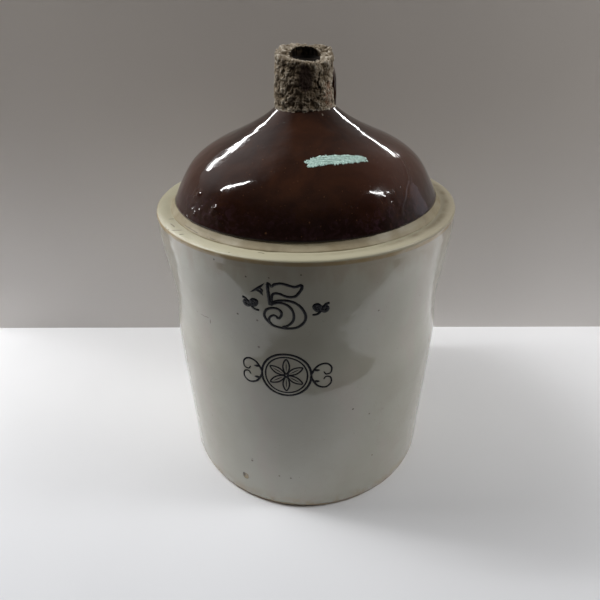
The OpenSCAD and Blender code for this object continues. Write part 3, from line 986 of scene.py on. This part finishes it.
def makeDome():
    line = domeSection()
    under = spin((line - outward(line) * (jug["glaze"] * 0.9))[::3], domeShape["segments"])
    rings = settle(np.concatenate([dressDome(line), under[::-1]]))
    ringPiece("domeGlaze", rings, brownGlaze, "dome_glaze")
    # clay of the dome, a closed shell
    clay = domeLine - outward(domeLine) * 0.1
    base = jug["height"] - 0.4
    clay = np.concatenate([[(jug["dome"] - 0.4, base)], clay[clay[:, 1] > coatHeight],
                           [(24.5, crownHeight - 0.1)]])
    inside, bore = jug["dome"] - jug["domeWall"], jug["mouth"] + 0.5
    start, top = jug["height"] + 1, crownHeight - jug["domeWall"]
    inner = curvy([(bore + (inside - bore) * r, start + (top - start) * h) for r, h in domeShares], 4)
    inner = np.concatenate([[(bore, crownHeight - 0.2)], inner[::-1], [(inside, base)]])
    turns = domeShape["claySegments"]
    rings = np.concatenate([settle(spin(clay, turns)), spin(inner, turns)])
    ringPiece("domeClay", rings, bareClay, "dome_top")


def makeNeck(segments=120):
    # the neck's clay, with its bore
    top, r, bore = domeShape["neckTop"] - 0.4, jug["neck"] - 0.4, jug["mouth"] + 0.05
    base = crownHeight - 0.4
    line = [(r + 2.0, base), (r, crownHeight + 5), (r, top - 2.2), (r - 0.7, top - 0.6),
            (r - 2.2, top), (bore + 1.2, top), (bore, top - 1.2), (bore, base)]
    ringPiece("neckClay", spin(np.array(line), segments), bareClay, "neck")


makeDome()
makeNeck()
print("dome made")

# Strap handle behind the neck
strap = {
    "turn": 4.2,
    "halfWidth": 20.4,
    "halfThick": 6.2,
    "path": [(14, 428.3), (28, 428.7), (40, 428.3), (49, 426.6), (56.5, 422.0), (61.6, 415.0), (63.8, 406.5),
             (64.2, 398), (64.4, 390), (65.0, 382), (66.4, 374), (68.4, 367)],
    "around": 56,
    # powers that flatten the sides and the faces of the oval section
    "flatSides": 0.72,
    "flatFaces": 0.62,
    # finger grooves: depth, distance from the middle and width, in shares of the half sizes
    "grooves": (0.10, 0.42, 0.16),
    "flare": 0.35,   # how much thicker the foot is
    # share of the width along the path, from the neck to the dome
    "widthShares": [(0, 1.05), (0.12, 0.93), (0.32, 0.94), (0.5, 1.0), (0.72, 1.0), (0.86, 1.0), (1, 1.30)],
}


def makeStrap():
    path = evenly(curvy(strap["path"], 8), 1.5)
    n = -outward(path)   # away from the finger gap
    theta = fullCircle(strap["around"])
    # an oval section with flattened sides: w across the strap, h through it
    w = np.sign(np.cos(theta)) * np.abs(np.cos(theta)) ** strap["flatSides"]
    h = np.sign(np.sin(theta)) * np.abs(np.sin(theta)) ** strap["flatFaces"]
    along = np.linspace(0, 1, len(path))[:, None]
    width = strap["halfWidth"] * np.interp(along, *np.array(strap["widthShares"]).T)
    # two shallow finger grooves run along the faces
    deep, aside, wide = strap["grooves"]
    groove = 1 - deep * (hill(w - aside, wide) + hill(w + aside, wide))
    depth = strap["halfThick"] * (1 + strap["flare"] * ramp(along, 0.86, 1)) * h * groove
    p = np.stack([width * w, path[:, :1] + n[:, :1] * depth, path[:, 1:] + n[:, 1:] * depth], axis=2)
    far = 0.35 * cloud(p, 14, 2, 5.0)
    x, y, z = p[..., 0] + far * w, p[..., 1], p[..., 2] + far * h
    c, s = math.cos(math.radians(strap["turn"])), math.sin(math.radians(strap["turn"]))
    p = np.stack([x * c + y * s, y * c - x * s, z], axis=2)
    count, around = p.shape[:2]
    faces = [f[::-1] for f in ringFaces(count, around, closed=False).tolist()]
    faces.append(list(range(around)))
    faces.append(list(range(count * around - 1, (count - 1) * around - 1, -1)))
    makePiece("strapHandle", p, faces, brownGlaze, "strap_handle")


makeStrap()

# Mineral crust round the neck
crust = {
    "segments": 420,
    "radius": 26.0, "swing": 0.85, "swingTurn": -83, "spread": 1.8, "edge": 1.2,
    "hole": 14.2, "narrowest": 13.2, "holeFoot": (13.4, 435.6),
    "wallRows": 92, "topRows": 20, "insideRows": 8,
    "lumps": 0.42, "mottle": 0.40, "grain": 0.24, "pits": 0.9,
    "dip": 1.5, "dipTurn": 92,   # the wall is hollowed on the right, where the handle shows behind it
    "notchTurn": 33, "notchDepth": 0.9, "paleTurn": 66, "sink": 0.35,
    # the flaked patch, the deep pit on the left, the knob below it and the crack on the right
    "flakeTurn": 6, "flakeHeight": 426.5, "flakeDepth": 0.9,
    "pitTurn": -42, "pitHeight": 411.6, "pitDepth": 2.4, "knobHeight": 406.6, "knobRise": 1.1,
    "crackTurn": 35, "crackHeights": (410, 434), "crackDepth": 1.1, "mmPerDegree": 0.465,
    # least and most relief on the top and in the mouth
    "topRelief": (-1.2, 0.55), "insideRelief": (-0.3, 0.2),
    # wander of the rim, the foot and the mouth: height, rate and seed of each wave
    "rimWaves": [(0.8, 0.13, 0.2), (0.9, 0.42, 6.1)],
    "footWaves": [(0.9, 0.12, 2.2), (1.1, 0.4, 7.7)],
    "holeWaves": [(0.9, 0.09, 3.3), (1.7, 0.3, 5.9), (1.2, 0.8, 8.8)],
    "backWall": [(21.3, 435.4), (21.3, 405.5)],
    # height of the rim, height of the mouth's edge and radius of the foot, by turn from the front
    "rim": [(-180, 450.2), (-138, 451.0), (-113, 450.3), (-93, 447.4), (-83, 446.0), (-53, 443.6),
            (-31, 442.0), (-8, 440.7), (17, 439.9), (32, 439.4), (47, 440.0), (69, 441.0), (90, 442.4),
            (103, 445.4), (117, 449.2), (132, 450.2), (157, 449.9), (180, 450.2)],
    "lip": [(-180, 449.6), (-151, 449.5), (-124, 448.6), (-83, 443.6), (-53, 441.8), (-24, 440.7), (7, 439.5),
            (32, 438.9), (69, 440.0), (97, 442.1), (129, 445.5), (155, 448.8), (180, 449.6)],
    "foot": [(-180, 29.2), (-120, 29.2), (-79, 29.4), (-50, 29.0), (-32, 30.2), (-19, 30.9), (-8, 32.0),
             (3, 33.3), (15, 32.6), (28, 32.0), (38, 33.0), (46, 33.8), (61, 32.8), (75, 31.4), (110, 30.0),
             (180, 29.2)],
}


def crustRows(a):
    # radius and height of each row at each turn, from the foot over the rim into the mouth
    rim, lip, foot = (np.interp(a, *np.array(crust[k]).T) for k in ("rim", "lip", "foot"))
    ragged = wander(a, crust["rimWaves"])
    notch = crust["notchDepth"] * hill(a - crust["notchTurn"], 3.5)
    rim, lip = rim + ragged - 0.5 * notch, lip + 0.8 * ragged - notch
    foot = foot + wander(a, crust["footWaves"])
    hole = np.maximum(crust["hole"] + wander(a, crust["holeWaves"]), crust["narrowest"])
    outer = crust["radius"] + crust["swing"] * np.cos(np.radians(a - crust["swingTurn"]))
    dip = crust["dip"] * hill(a - crust["dipTurn"], 32)
    footZ = domeTopAt(foot) - crust["sink"]
    edge = crust["edge"]
    rows = []
    # up the outside, from a skirt that lies on the dome
    for s in np.linspace(0, 1, crust["wallRows"]) ** 1.15:
        z = footZ + (rim - edge - footZ) * s
        wall = outer + crust["spread"] * (1 - s ** 1.6) - dip * math.sin(math.pi * s)
        rows.append((wall + (foot - wall) * np.exp(-(z - footZ) / 1.9), z))
    # round the edge, over the sloping top and down into the mouth
    for q in np.radians((22, 45, 68)):
        rows.append((outer - edge * (1 - math.cos(q)), rim - edge * (1 - math.sin(q))))
    for s in np.linspace(0, 1, crust["topRows"]):
        inward = (hole + 0.4 - outer + edge) * s
        rows.append((outer - edge + inward, rim + (lip - rim) * (1 - (1 - s) ** 1.5)))
    footR, mouthFoot = crust["holeFoot"]
    for s in np.linspace(0, 1, crust["insideRows"]):
        rows.append((hole + (footR - hole) * s, lip - 0.5 - (lip - 0.5 - mouthFoot) * s))
    return np.array([r for r, _ in rows]), np.array([z for _, z in rows]), rim, footZ


def makeCrust():
    a = halfTurn(np.arange(crust["segments"]) * 360 / crust["segments"])
    r, z, rim, footZ = crustRows(a)
    turn = np.radians(a)
    p = turnedPoints(r, turn, z)
    dz, dr = np.gradient(z, axis=0), np.gradient(r, axis=0)
    length = np.maximum(np.hypot(dr, dz), 1e-6)
    nr, nz = dz / length, -dr / length
    row = np.arange(len(r))[:, None] + 0 * a
    onWallPart = row < crust["wallRows"]
    inside = row >= len(r) - crust["insideRows"]
    big, mid, fine = evenCloud(p, 8, 2, 3.3), evenCloud(p, 4.2, 3, 7.7), evenCloud(p, 1.7, 3, 2.1)
    cavities = evenCloud(p, 3.8, 2, 11.0)
    pits = np.clip((cavities - np.percentile(cavities, 84)) * 1.1, 0, 1)
    far = crust["lumps"] * big + crust["mottle"] * mid + crust["grain"] * fine - crust["pits"] * pits
    gap = np.hypot((a - crust["flakeTurn"]) / 15, (z - crust["flakeHeight"]) / 13)
    flaked = np.clip(1.15 - gap + 0.22 * mid, 0, 1) * onWallPart * np.clip((rim - 3 - z) / 2, 0, 1)
    far = far * (1 - 0.6 * flaked) - crust["flakeDepth"] * flaked
    away = np.radians(a - crust["pitTurn"]) * crust["radius"]
    pit = hill(away, 3.0) * hill(z - crust["pitHeight"], 2.1) * onWallPart
    knob = hill(away - 1.5, 2.2) * hill(z - crust["knobHeight"], 2.2) * onWallPart
    crackTurn = crust["crackTurn"] + 3.2 * np.sin(z / 3.1) + 1.5 * np.sin(z / 1.3)
    crackLow, crackHigh = crust["crackHeights"]
    crack = hill((a - crackTurn) * crust["mmPerDegree"], 0.8) * onWallPart
    crack = crack * ramp(z, crackLow, crackLow + 3) * ramp(z, crackHigh, crackHigh - 3)
    far = far - crust["pitDepth"] * pit + crust["knobRise"] * knob - crust["crackDepth"] * crack
    # the skirt stays down, the top front stays up and the wall keeps clear of the mouth
    far = far * np.clip((z - footZ) / 2.5, 0.25, 1)
    onTop = (nz > 0.4) & ~onWallPart
    far = np.where(onTop, np.clip(far * 1.1, *crust["topRelief"]), far)
    far = np.where(inside, np.clip(far, *crust["insideRelief"]), far)
    p = pushed(p, turn, nr, nz, far)
    # paler on the right and on the top; painted shade: black in the mouth and on its back wall
    shade = 0.52 + 0.13 * mid + 0.08 * fine + 0.06 * big - 0.36 * pits - 0.16 * flaked
    shade = shade - 0.5 * pit + 0.12 * knob - 0.40 * crack + 0.10 * hill(a - crust["paleTurn"], 17)
    shade = np.where(onWallPart, shade, 0.60 + 1.05 * (shade - 0.5))
    # painted shade: the rows inside the mouth take the darkest tone
    shade = np.where(inside, -0.2, np.clip(shade, 0.05, 1))
    rings = np.concatenate([p, spin(np.array(crust["backWall"]), crust["segments"])])
    shade = np.concatenate([shade, np.zeros((2, crust["segments"]))])
    ringPiece("spoutCrust", rings, crustStone, "spout_crust", shade=shade)


makeCrust()
print("neck, handle and crust made")

# Stamped marks: thin inlaid strips that follow the wall
ink = {"lift": 0.07, "sink": 0.15, "step": 0.7}


def strip(points, width, shapeOf=None, lift=0.0, place=onWall, perSpan=6, step=ink["step"]):
    # a strip through given points; shapeOf gives the share of the width along it
    line = evenly(curvy(points, perSpan), step)
    u = np.linspace(0, 1, len(line))
    share = np.ones(len(line)) if shapeOf is None else shapeOf(u)
    ends = np.clip(np.minimum(u, 1 - u) * len(line) / 1.2, 0.25, 1)
    waver = 1 + 0.16 * np.array([noise.noise(Vector((*q, 3.0)) * 0.9) for q in line])
    side = outward(line) * (width / 2 * share * np.sqrt(ends) * waver)[:, None]
    left, right = line - side, line + side
    top, low = ink["lift"] + lift, -ink["sink"]
    corners = ((right, top), (left, top), (left, low), (right, low))
    sections = [place(edge[:, 0], edge[:, 1], high) for edge, high in corners]
    last = (len(line) - 1) * 4
    faces = ringFaces(len(line), 4, closed=False).tolist()
    faces += [[3, 2, 1, 0], [last, last + 1, last + 2, last + 3]]
    return np.stack(sections, axis=1).reshape(-1, 3), faces


def stripPiece(name, strips, material, replaced):
    # one piece from many strips
    points, faces, start = [], [], 0
    for p, f in strips:
        points.append(p)
        faces += [[k + start for k in face] for face in f]
        start += len(p)
    makePiece(name, np.concatenate(points), faces, material, replaced)


def leaf(u):
    return np.sin(np.pi * np.clip(u, 0.02, 0.98)) ** 0.8


numeral = {
    "middle": (0.1, 270.0),
    "half": (18.6, 24.6),
    "sag": 3.0,   # how far the stamp's left side hangs
    "line": 2.55,
    # strokes in shares of the half width and half height, each with its share of the line's width
    "strokes": [
        (1.0, [(-0.71, 0.98), (-0.61, 0.95), (-0.50, 0.84), (-0.37, 0.91), (-0.12, 0.94), (0.08, 0.91),
               (0.28, 0.85), (0.48, 0.80), (0.65, 0.82), (0.84, 0.89)]),
        (1.0, [(0.84, 0.89), (0.83, 0.74), (0.70, 0.57), (0.53, 0.43), (0.28, 0.40), (0.06, 0.45),
               (-0.17, 0.54), (-0.37, 0.56), (-0.49, 0.50), (-0.535, 0.37), (-0.54, 0.23)]),
        (1.15, [(-0.68, 0.96), (-0.67, 0.63), (-0.65, 0.33), (-0.64, 0.07)]),
        (1.0, [(-0.62, 0.16), (-0.41, 0.23), (-0.19, 0.26), (0.08, 0.26), (0.33, 0.22), (0.56, 0.13),
               (0.75, -0.02), (0.90, -0.23), (0.96, -0.42), (0.91, -0.63), (0.75, -0.80), (0.53, -0.92),
               (0.28, -0.96), (-0.02, -0.95), (-0.27, -0.91), (-0.49, -0.85), (-0.69, -0.73), (-0.85, -0.57),
               (-0.94, -0.41), (-0.93, -0.26), (-0.83, -0.12), (-0.64, -0.05), (-0.42, -0.05),
               (-0.23, -0.12), (-0.13, -0.26), (-0.17, -0.41), (-0.30, -0.53)]),
        (0.95, [(-0.61, 0.07), (-0.46, 0.14), (-0.24, 0.17), (-0.02, 0.14), (0.19, 0.04), (0.36, -0.14),
                (0.425, -0.37), (0.39, -0.58), (0.27, -0.74), (0.08, -0.85), (-0.14, -0.895)]),
        (0.9, [(-0.31, -0.53), (-0.38, -0.41), (-0.51, -0.36), (-0.66, -0.42), (-0.74, -0.535),
               (-0.71, -0.66), (-0.60, -0.78), (-0.49, -0.85)]),
    ],
    # smeared ink up to the left: points as they lie on the wall, width and lift
    "smears": [([(-28.2, 281.0), (-23.0, 284.4), (-18.8, 287.6), (-15.0, 291.4)], 2.4, 0.08),
               ([(-23.4, 283.6), (-20.4, 283.4), (-18.4, 281.6), (-17.0, 279.0)], 2.6, 0.09),
               ([(-19.4, 286.6), (-17.8, 284.6), (-17.2, 282.0)], 2.4, 0.10)],
}


def numeralStrips():
    cx, cz = numeral["middle"]
    hx, hz = numeral["half"]
    strips = []
    for k, (share, shares) in enumerate(numeral["strokes"]):
        points = [(cx + x * hx, cz + z * hz - numeral["sag"] * ((1 - x) / 2) ** 2) for x, z in shares]
        strips.append(strip(points, numeral["line"] * share, lift=0.012 * k))
    for points, width, lift in numeral["smears"]:
        strips.append(strip(points, width, leaf, lift=lift))
    return strips


floret = {
    "left": (-29.2, 269.6),
    "right": (31.0, 267.6),
    # lines of the left floret about its middle: width, then points; the right one is its mirror image
    "lines": [
        (2.7, [(-7.0, 5.2), (-5.2, 5.0), (-3.6, 3.8), (-2.6, 2.0)]),
        (3.6, [(-3.8, 2.2), (-5.2, 0.4), (-4.6, -1.8), (-2.8, -2.9), (-1.2, -2.0), (-1.2, 0.2), (-2.6, 1.8),
               (-3.8, 2.2)]),
        (3.6, [(1.2, -0.6), (1.0, 2.0), (2.6, 3.9), (4.8, 3.8), (5.8, 2.0), (4.8, -0.4), (2.8, -2.0),
               (1.2, -0.6)]),
        (2.6, [(2.4, 0.4), (3.6, 2.0)]),
        (2.2, [(0.4, -2.6), (2.2, -4.9), (4.6, -6.2), (7.6, -6.4)]),
    ],
}


def floretStrips(side):
    cx, cz = floret["left"] if side < 0 else floret["right"]
    strips = []
    for k, (width, points) in enumerate(floret["lines"]):
        points = [(cx - side * x, cz + z) for x, z in points]
        strips.append(strip(points, width, lift=0.012 * k, step=0.5))
    return strips


rosette = {
    "middle": (-0.5, 192.8),
    # circles: radius, where they start in degrees and width
    "rings": [(23.05, 0, 2.3), (19.6, 90, 1.6)],
    "petal": 18.032, "petalWidth": 1.5,
    "vein": (0.2, 0.5, 0.78), "veinWidth": 0.9,
    "bud": 2.2, "budWidth": 1.3,
    "scroll": 43.0, "scrollWidth": 2.3,
    "stem": [(0.575, 0.14), (0.72, 0.14)], "stemWidth": 2.4,
}
scrollShares = [(0.52, 0.02), (0.66, 0.24), (0.84, 0.3), (0.96, 0.2), (0.95, 0.06), (0.85, 0.03), (0.8, 0.1)]
petalShares = [(0.04, 0.0), (0.25, 0.115), (0.52, 0.17), (0.8, 0.11), (0.99, 0.0)]


def circle(cx, cz, r, start=0, count=40):
    # a closed ring of points with a small overlap
    a = np.radians(start + np.linspace(0, 362, count))
    return [(cx + r * math.cos(q), cz + r * math.sin(q)) for q in a]


def rosetteStrips():
    cx, cz = rosette["middle"]
    petal, reach = rosette["petal"], rosette["scroll"]
    strips = [strip(circle(cx, cz, r, start), width, perSpan=2) for r, start, width in rosette["rings"]]
    for k in range(6):
        a = math.radians(60 * k + 30)
        c, s = math.cos(a), math.sin(a)
        for bend in (-1, 1):
            points = [(cx + petal * (u * c - bend * v * s), cz + petal * (u * s + bend * v * c))
                      for u, v in petalShares]
            strips.append(strip(points, rosette["petalWidth"], lift=0.006 * (k + 1)))
        vein = [(cx + petal * u * c, cz + petal * u * s) for u in rosette["vein"]]
        strips.append(strip(vein, rosette["veinWidth"], leaf, lift=0.006 * k))
    bud = circle(cx, cz, rosette["bud"], count=16)
    strips.append(strip(bud, rosette["budWidth"], perSpan=2, lift=0.05))
    for sx in (-1, 1):
        for sz in (-1, 1):
            scroll, stem = ([(cx + sx * reach * u, cz + sz * reach * v) for u, v in shares]
                            for shares in (scrollShares, rosette["stem"]))
            strips.append(strip(scroll, rosette["scrollWidth"], lambda u: 1 - 0.45 * u, lift=0.03))
            strips.append(strip(stem, rosette["stemWidth"], leaf, lift=0.04))
    return strips


for pieceName, strips, nodeName in (("capacityMark", numeralStrips(), "capacity_mark"),
                                    ("leftFloret", floretStrips(-1), "left_floret"),
                                    ("rightFloret", floretStrips(1), "right_floret"),
                                    ("frontRosette", rosetteStrips(), "front_rosette")):
    stripPiece(pieceName, strips, stampInk, nodeName)
print("stamped marks made")

# Dried paint streak on the dome, one strand for each bristle mark
paint = {
    "middle": [(10.2, -87.0), (15.4, -83.4), (21.0, -80.3), (30.0, -77.2), (39.0, -74.0), (49.0, -69.0),
               (61.5, -63.8)],
    "breadth": 3.8,
    "breadthShares": [(0, 0.60), (0.1, 0.88), (0.25, 1.05), (0.5, 1.0), (0.75, 0.86), (0.9, 0.62), (1, 0.32)],
    "strands": 12,
    "strandWidth": 1.1,
    "strandLift": 0.10,
    "crumbs": 150,   # short dabs that break up the outline
    "crumbLift": 0.17,
}


def makePaint():
    line = evenly(curvy(paint["middle"], 6), 1.1)
    side = -outward(line)
    along = np.linspace(0, 1, len(line))
    breadth = paint["breadth"] * np.interp(along, *np.array(paint["breadthShares"]).T)
    strips = []
    for k in range(paint["strands"]):
        offset = -1 + 2 * k / (paint["strands"] - 1)
        first = random.uniform(0.0, 0.05) + 0.05 * max(0, offset)
        last = 1 - random.uniform(0.0, 0.06) - 0.05 * max(0, -offset)
        keep = (along >= first) & (along <= last)
        wobble = wander(along, ((0.10, 9, k * 1.7), (0.07, 34, k * 2.3)))
        points = (line + side * (breadth * (offset + wobble))[:, None])[keep]

        def ragged(u, k=k):
            return 1.0 + 0.5 * wiggle(u, 22, k * 3.1)

        width = paint["strandWidth"] * random.uniform(0.85, 1.25)
        lift = paint["strandLift"] + 0.02 * (k % 3)
        strips.append(strip(points[::2], width, ragged, lift, onDome, 2, 0.55))
    for _ in range(paint["crumbs"]):
        i = random.randrange(1, len(line) - 1)
        edgeSide = random.choice((-1, 1, 1))   # more of them along the upper edge
        middle = line[i] + side[i] * breadth[i] * edgeSide * random.uniform(0.95, 1.20)
        a = math.atan2(side[i, 1], side[i, 0]) + random.uniform(-0.6, 0.6)
        reach = np.array([math.cos(a), math.sin(a)]) * random.uniform(0.6, 1.9)
        width = random.uniform(0.9, 1.7)
        crumb = [middle - reach, middle, middle + reach]
        strips.append(strip(crumb, width, leaf, paint["crumbLift"], onDome, 3, 0.4))
    stripPiece("paintStreak", strips, mintPaint, "paint_streak")


makePaint()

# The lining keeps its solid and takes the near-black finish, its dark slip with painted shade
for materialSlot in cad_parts["lining_glaze"].material_slots:
    materialSlot.material = shadedSlipLining
print("paint streak made, lining dressed")


# Floor, backdrop and light
def plain(name, tone, endTone=None, axis=2, low=0.0, high=420.0, oneSided=False):
    # a plain sheet's finish, with another tone towards its end
    material, tree, place = newMaterial(name)
    colour = blendColour(tree, span(tree, axesOf(tree, place)[axis], low, high), tone, endTone or tone)
    drift = mottle(tree, place, 260, 0.3, 0.7, detail=2.0)
    colour = tint(tree, colour, vectorMaths(tree, "SCALE", colour, 0.97), drift)
    if oneSided:
        mixed = node(tree, "ShaderNodeMixShader")
        feed(tree, mixed.inputs[0], node(tree, "ShaderNodeNewGeometry").outputs["Backfacing"])
        feed(tree, mixed.inputs[1], tree.nodes["Principled BSDF"].outputs[0])
        feed(tree, mixed.inputs[2], node(tree, "ShaderNodeBsdfTransparent").outputs[0])
        feed(tree, tree.nodes["Material Output"].inputs["Surface"], mixed.outputs[0])
    return dress(material, colour, 0.8, specular=0.2)


def panel(name, corners, material):
    # a flat sheet of the studio, squared to the camera's side of the jug
    mesh = bpy.data.meshes.new(name)
    turn = Matrix.Rotation(math.radians(frontTurn), 4, "Z")
    mesh.from_pydata([turn @ Vector(c) for c in corners], [], [(0, 1, 2, 3)])
    mesh.materials.append(material)
    made = bpy.data.objects.new(name, mesh)
    scene.collection.objects.link(made)


stage = {
    "board": (0.68, 0.69, 0.715),
    "boardFar": (0.90, 0.905, 0.92),
    "ground": (0.13, 0.127, 0.123),
    "wall": (0.74, 0.71, 0.69),
    "wallTopShade": (0.53, 0.49, 0.455),
    "reach": 2.2,
    "boardLeft": -0.44,    # y of the board's front edge at its left end
    "boardRight": -0.25,   # and at its right end
    "groundReach": 6.0,
    "groundDrop": 0.004,
    "wallDepth": 0.208,
    "wallHalf": 0.552,
    "wallTop": 0.4905,
}


def buildStage(look):
    far = look["reach"]
    corners = [(-far, look["boardLeft"], 0), (far, look["boardRight"], 0), (far, far, 0), (-far, far, 0)]
    # painted shade: the board darkens from its back towards its front edge
    panel("floor", corners, plain("pale board", look["board"], look["boardFar"], 1, -340.0, 40.0))
    # painted shade: the dark ground round the board stands in for the unlit room in front
    far, low = look["groundReach"], -look["groundDrop"]
    corners = [(-far, -far, low), (far, -far, low), (far, far, low), (-far, far, low)]
    panel("ground", corners, plain("studio ground", look["ground"]))
    # painted shade: the backdrop darkens towards its top
    half, y, top = look["wallHalf"], look["wallDepth"], look["wallTop"]
    corners = [(-half, y, 0), (half, y, 0), (half, y, top), (-half, y, top)]
    panel("backdrop", corners, plain("grey board", look["wall"], look["wallTopShade"], oneSided=True))


buildStage(stage)

# Strip lamps, each from one end to the other, with its width and the strength of its surface
lamps = {
    "leftBack": ((-0.66, 0.93, 1.00), (-1.04, 0.63, 0.92), 0.066, 26.0),
    "rightBack": ((0.38, 1.16, 0.89), (0.635, 1.032, 0.925), 0.060, 26.0),
    "leftTube": ((-1.345, -0.062, 1.163), (-0.79, 0.06, 1.64), 0.070, 52.0),
    "rightTube": ((1.09, -0.16, 1.45), (1.36, 0.12, 1.12), 0.050, 56.0),
    "leftLow": ((-1.50, 0.34, 0.62), (-1.50, 0.30, 0.70), 0.080, 10.0),
    # wide soft boxes round the tubes, which give light and no reflection
    "leftSoft": ((-1.45, 0.00, 1.10), (-0.65, 0.10, 1.75), 0.70, 6.7),
    "rightSoft": ((0.98, -0.30, 1.55), (1.45, 0.20, 1.00), 0.60, 5.2),
}
hidden = ("leftSoft", "rightSoft")
lampAim = Vector((0, 0, 0.30))   # the lamps face the middle of the jug


def hangStrip(name, start, stop, width, strength):
    data = bpy.data.lights.new(name, "AREA")
    data.shape = "RECTANGLE"
    a, b = Vector(start), Vector(stop)
    data.size, data.size_y = (b - a).length, width
    data.energy = strength * math.pi * data.size * data.size_y
    lamp = bpy.data.objects.new(name, data)
    scene.collection.objects.link(lamp)
    middle = (a + b) / 2
    away = (middle - lampAim).normalized()
    along = (b - a).normalized()
    across = away.cross(along).normalized()
    pose = Matrix((along, across, along.cross(across))).transposed().to_4x4()
    pose.translation = middle
    lamp.matrix_world = pose
    lamp.visible_camera = False
    lamp.visible_glossy = name not in hidden


for lampName, values in lamps.items():
    hangStrip(lampName, *values)

room = {
    "frontLow": (0.095, 0.088, 0.08),
    "front": (0.026, 0.024, 0.022),
    "back": (0.27, 0.26, 0.25),
    "above": (0.095, 0.089, 0.083),
    # soft bright places: the way towards them, their inner and outer spread in degrees, and their tone
    "glows": [((-0.63, 0.44, 0.64), 6, 32, (0.30, 0.30, 0.31)),
              ((0.81, 0.57, 0.10), 4, 15, (0.20, 0.185, 0.235))],
}


def buildRoom(look):
    world = bpy.data.worlds.new("room")
    scene.world = world
    world.use_nodes = True
    tree = world.node_tree
    way = node(tree, "ShaderNodeTexCoord").outputs["Generated"]
    _, y, z = axesOf(tree, way)
    ahead = blendColour(tree, span(tree, z, 0.12, 0.40), look["frontLow"], look["front"])
    colour = blendColour(tree, span(tree, y, -0.35, 0.5), ahead, look["back"])
    colour = blendColour(tree, span(tree, z, 0.5, 0.95), colour, look["above"])
    for towards, core, reach, tone in look["glows"]:
        towards = tuple(Vector(towards).normalized())
        facing = vectorMaths(tree, "DOT_PRODUCT", way, towards, "Value")
        spread = span(tree, facing, math.cos(math.radians(reach)), math.cos(math.radians(core)))
        colour = blendColour(tree, spread, colour, tone, "ADD")
    feed(tree, tree.nodes["Background"].inputs["Color"], colour)
    tree.nodes["Background"].inputs["Strength"].default_value = 1.0


buildRoom(room)
print("stage and lamps set")
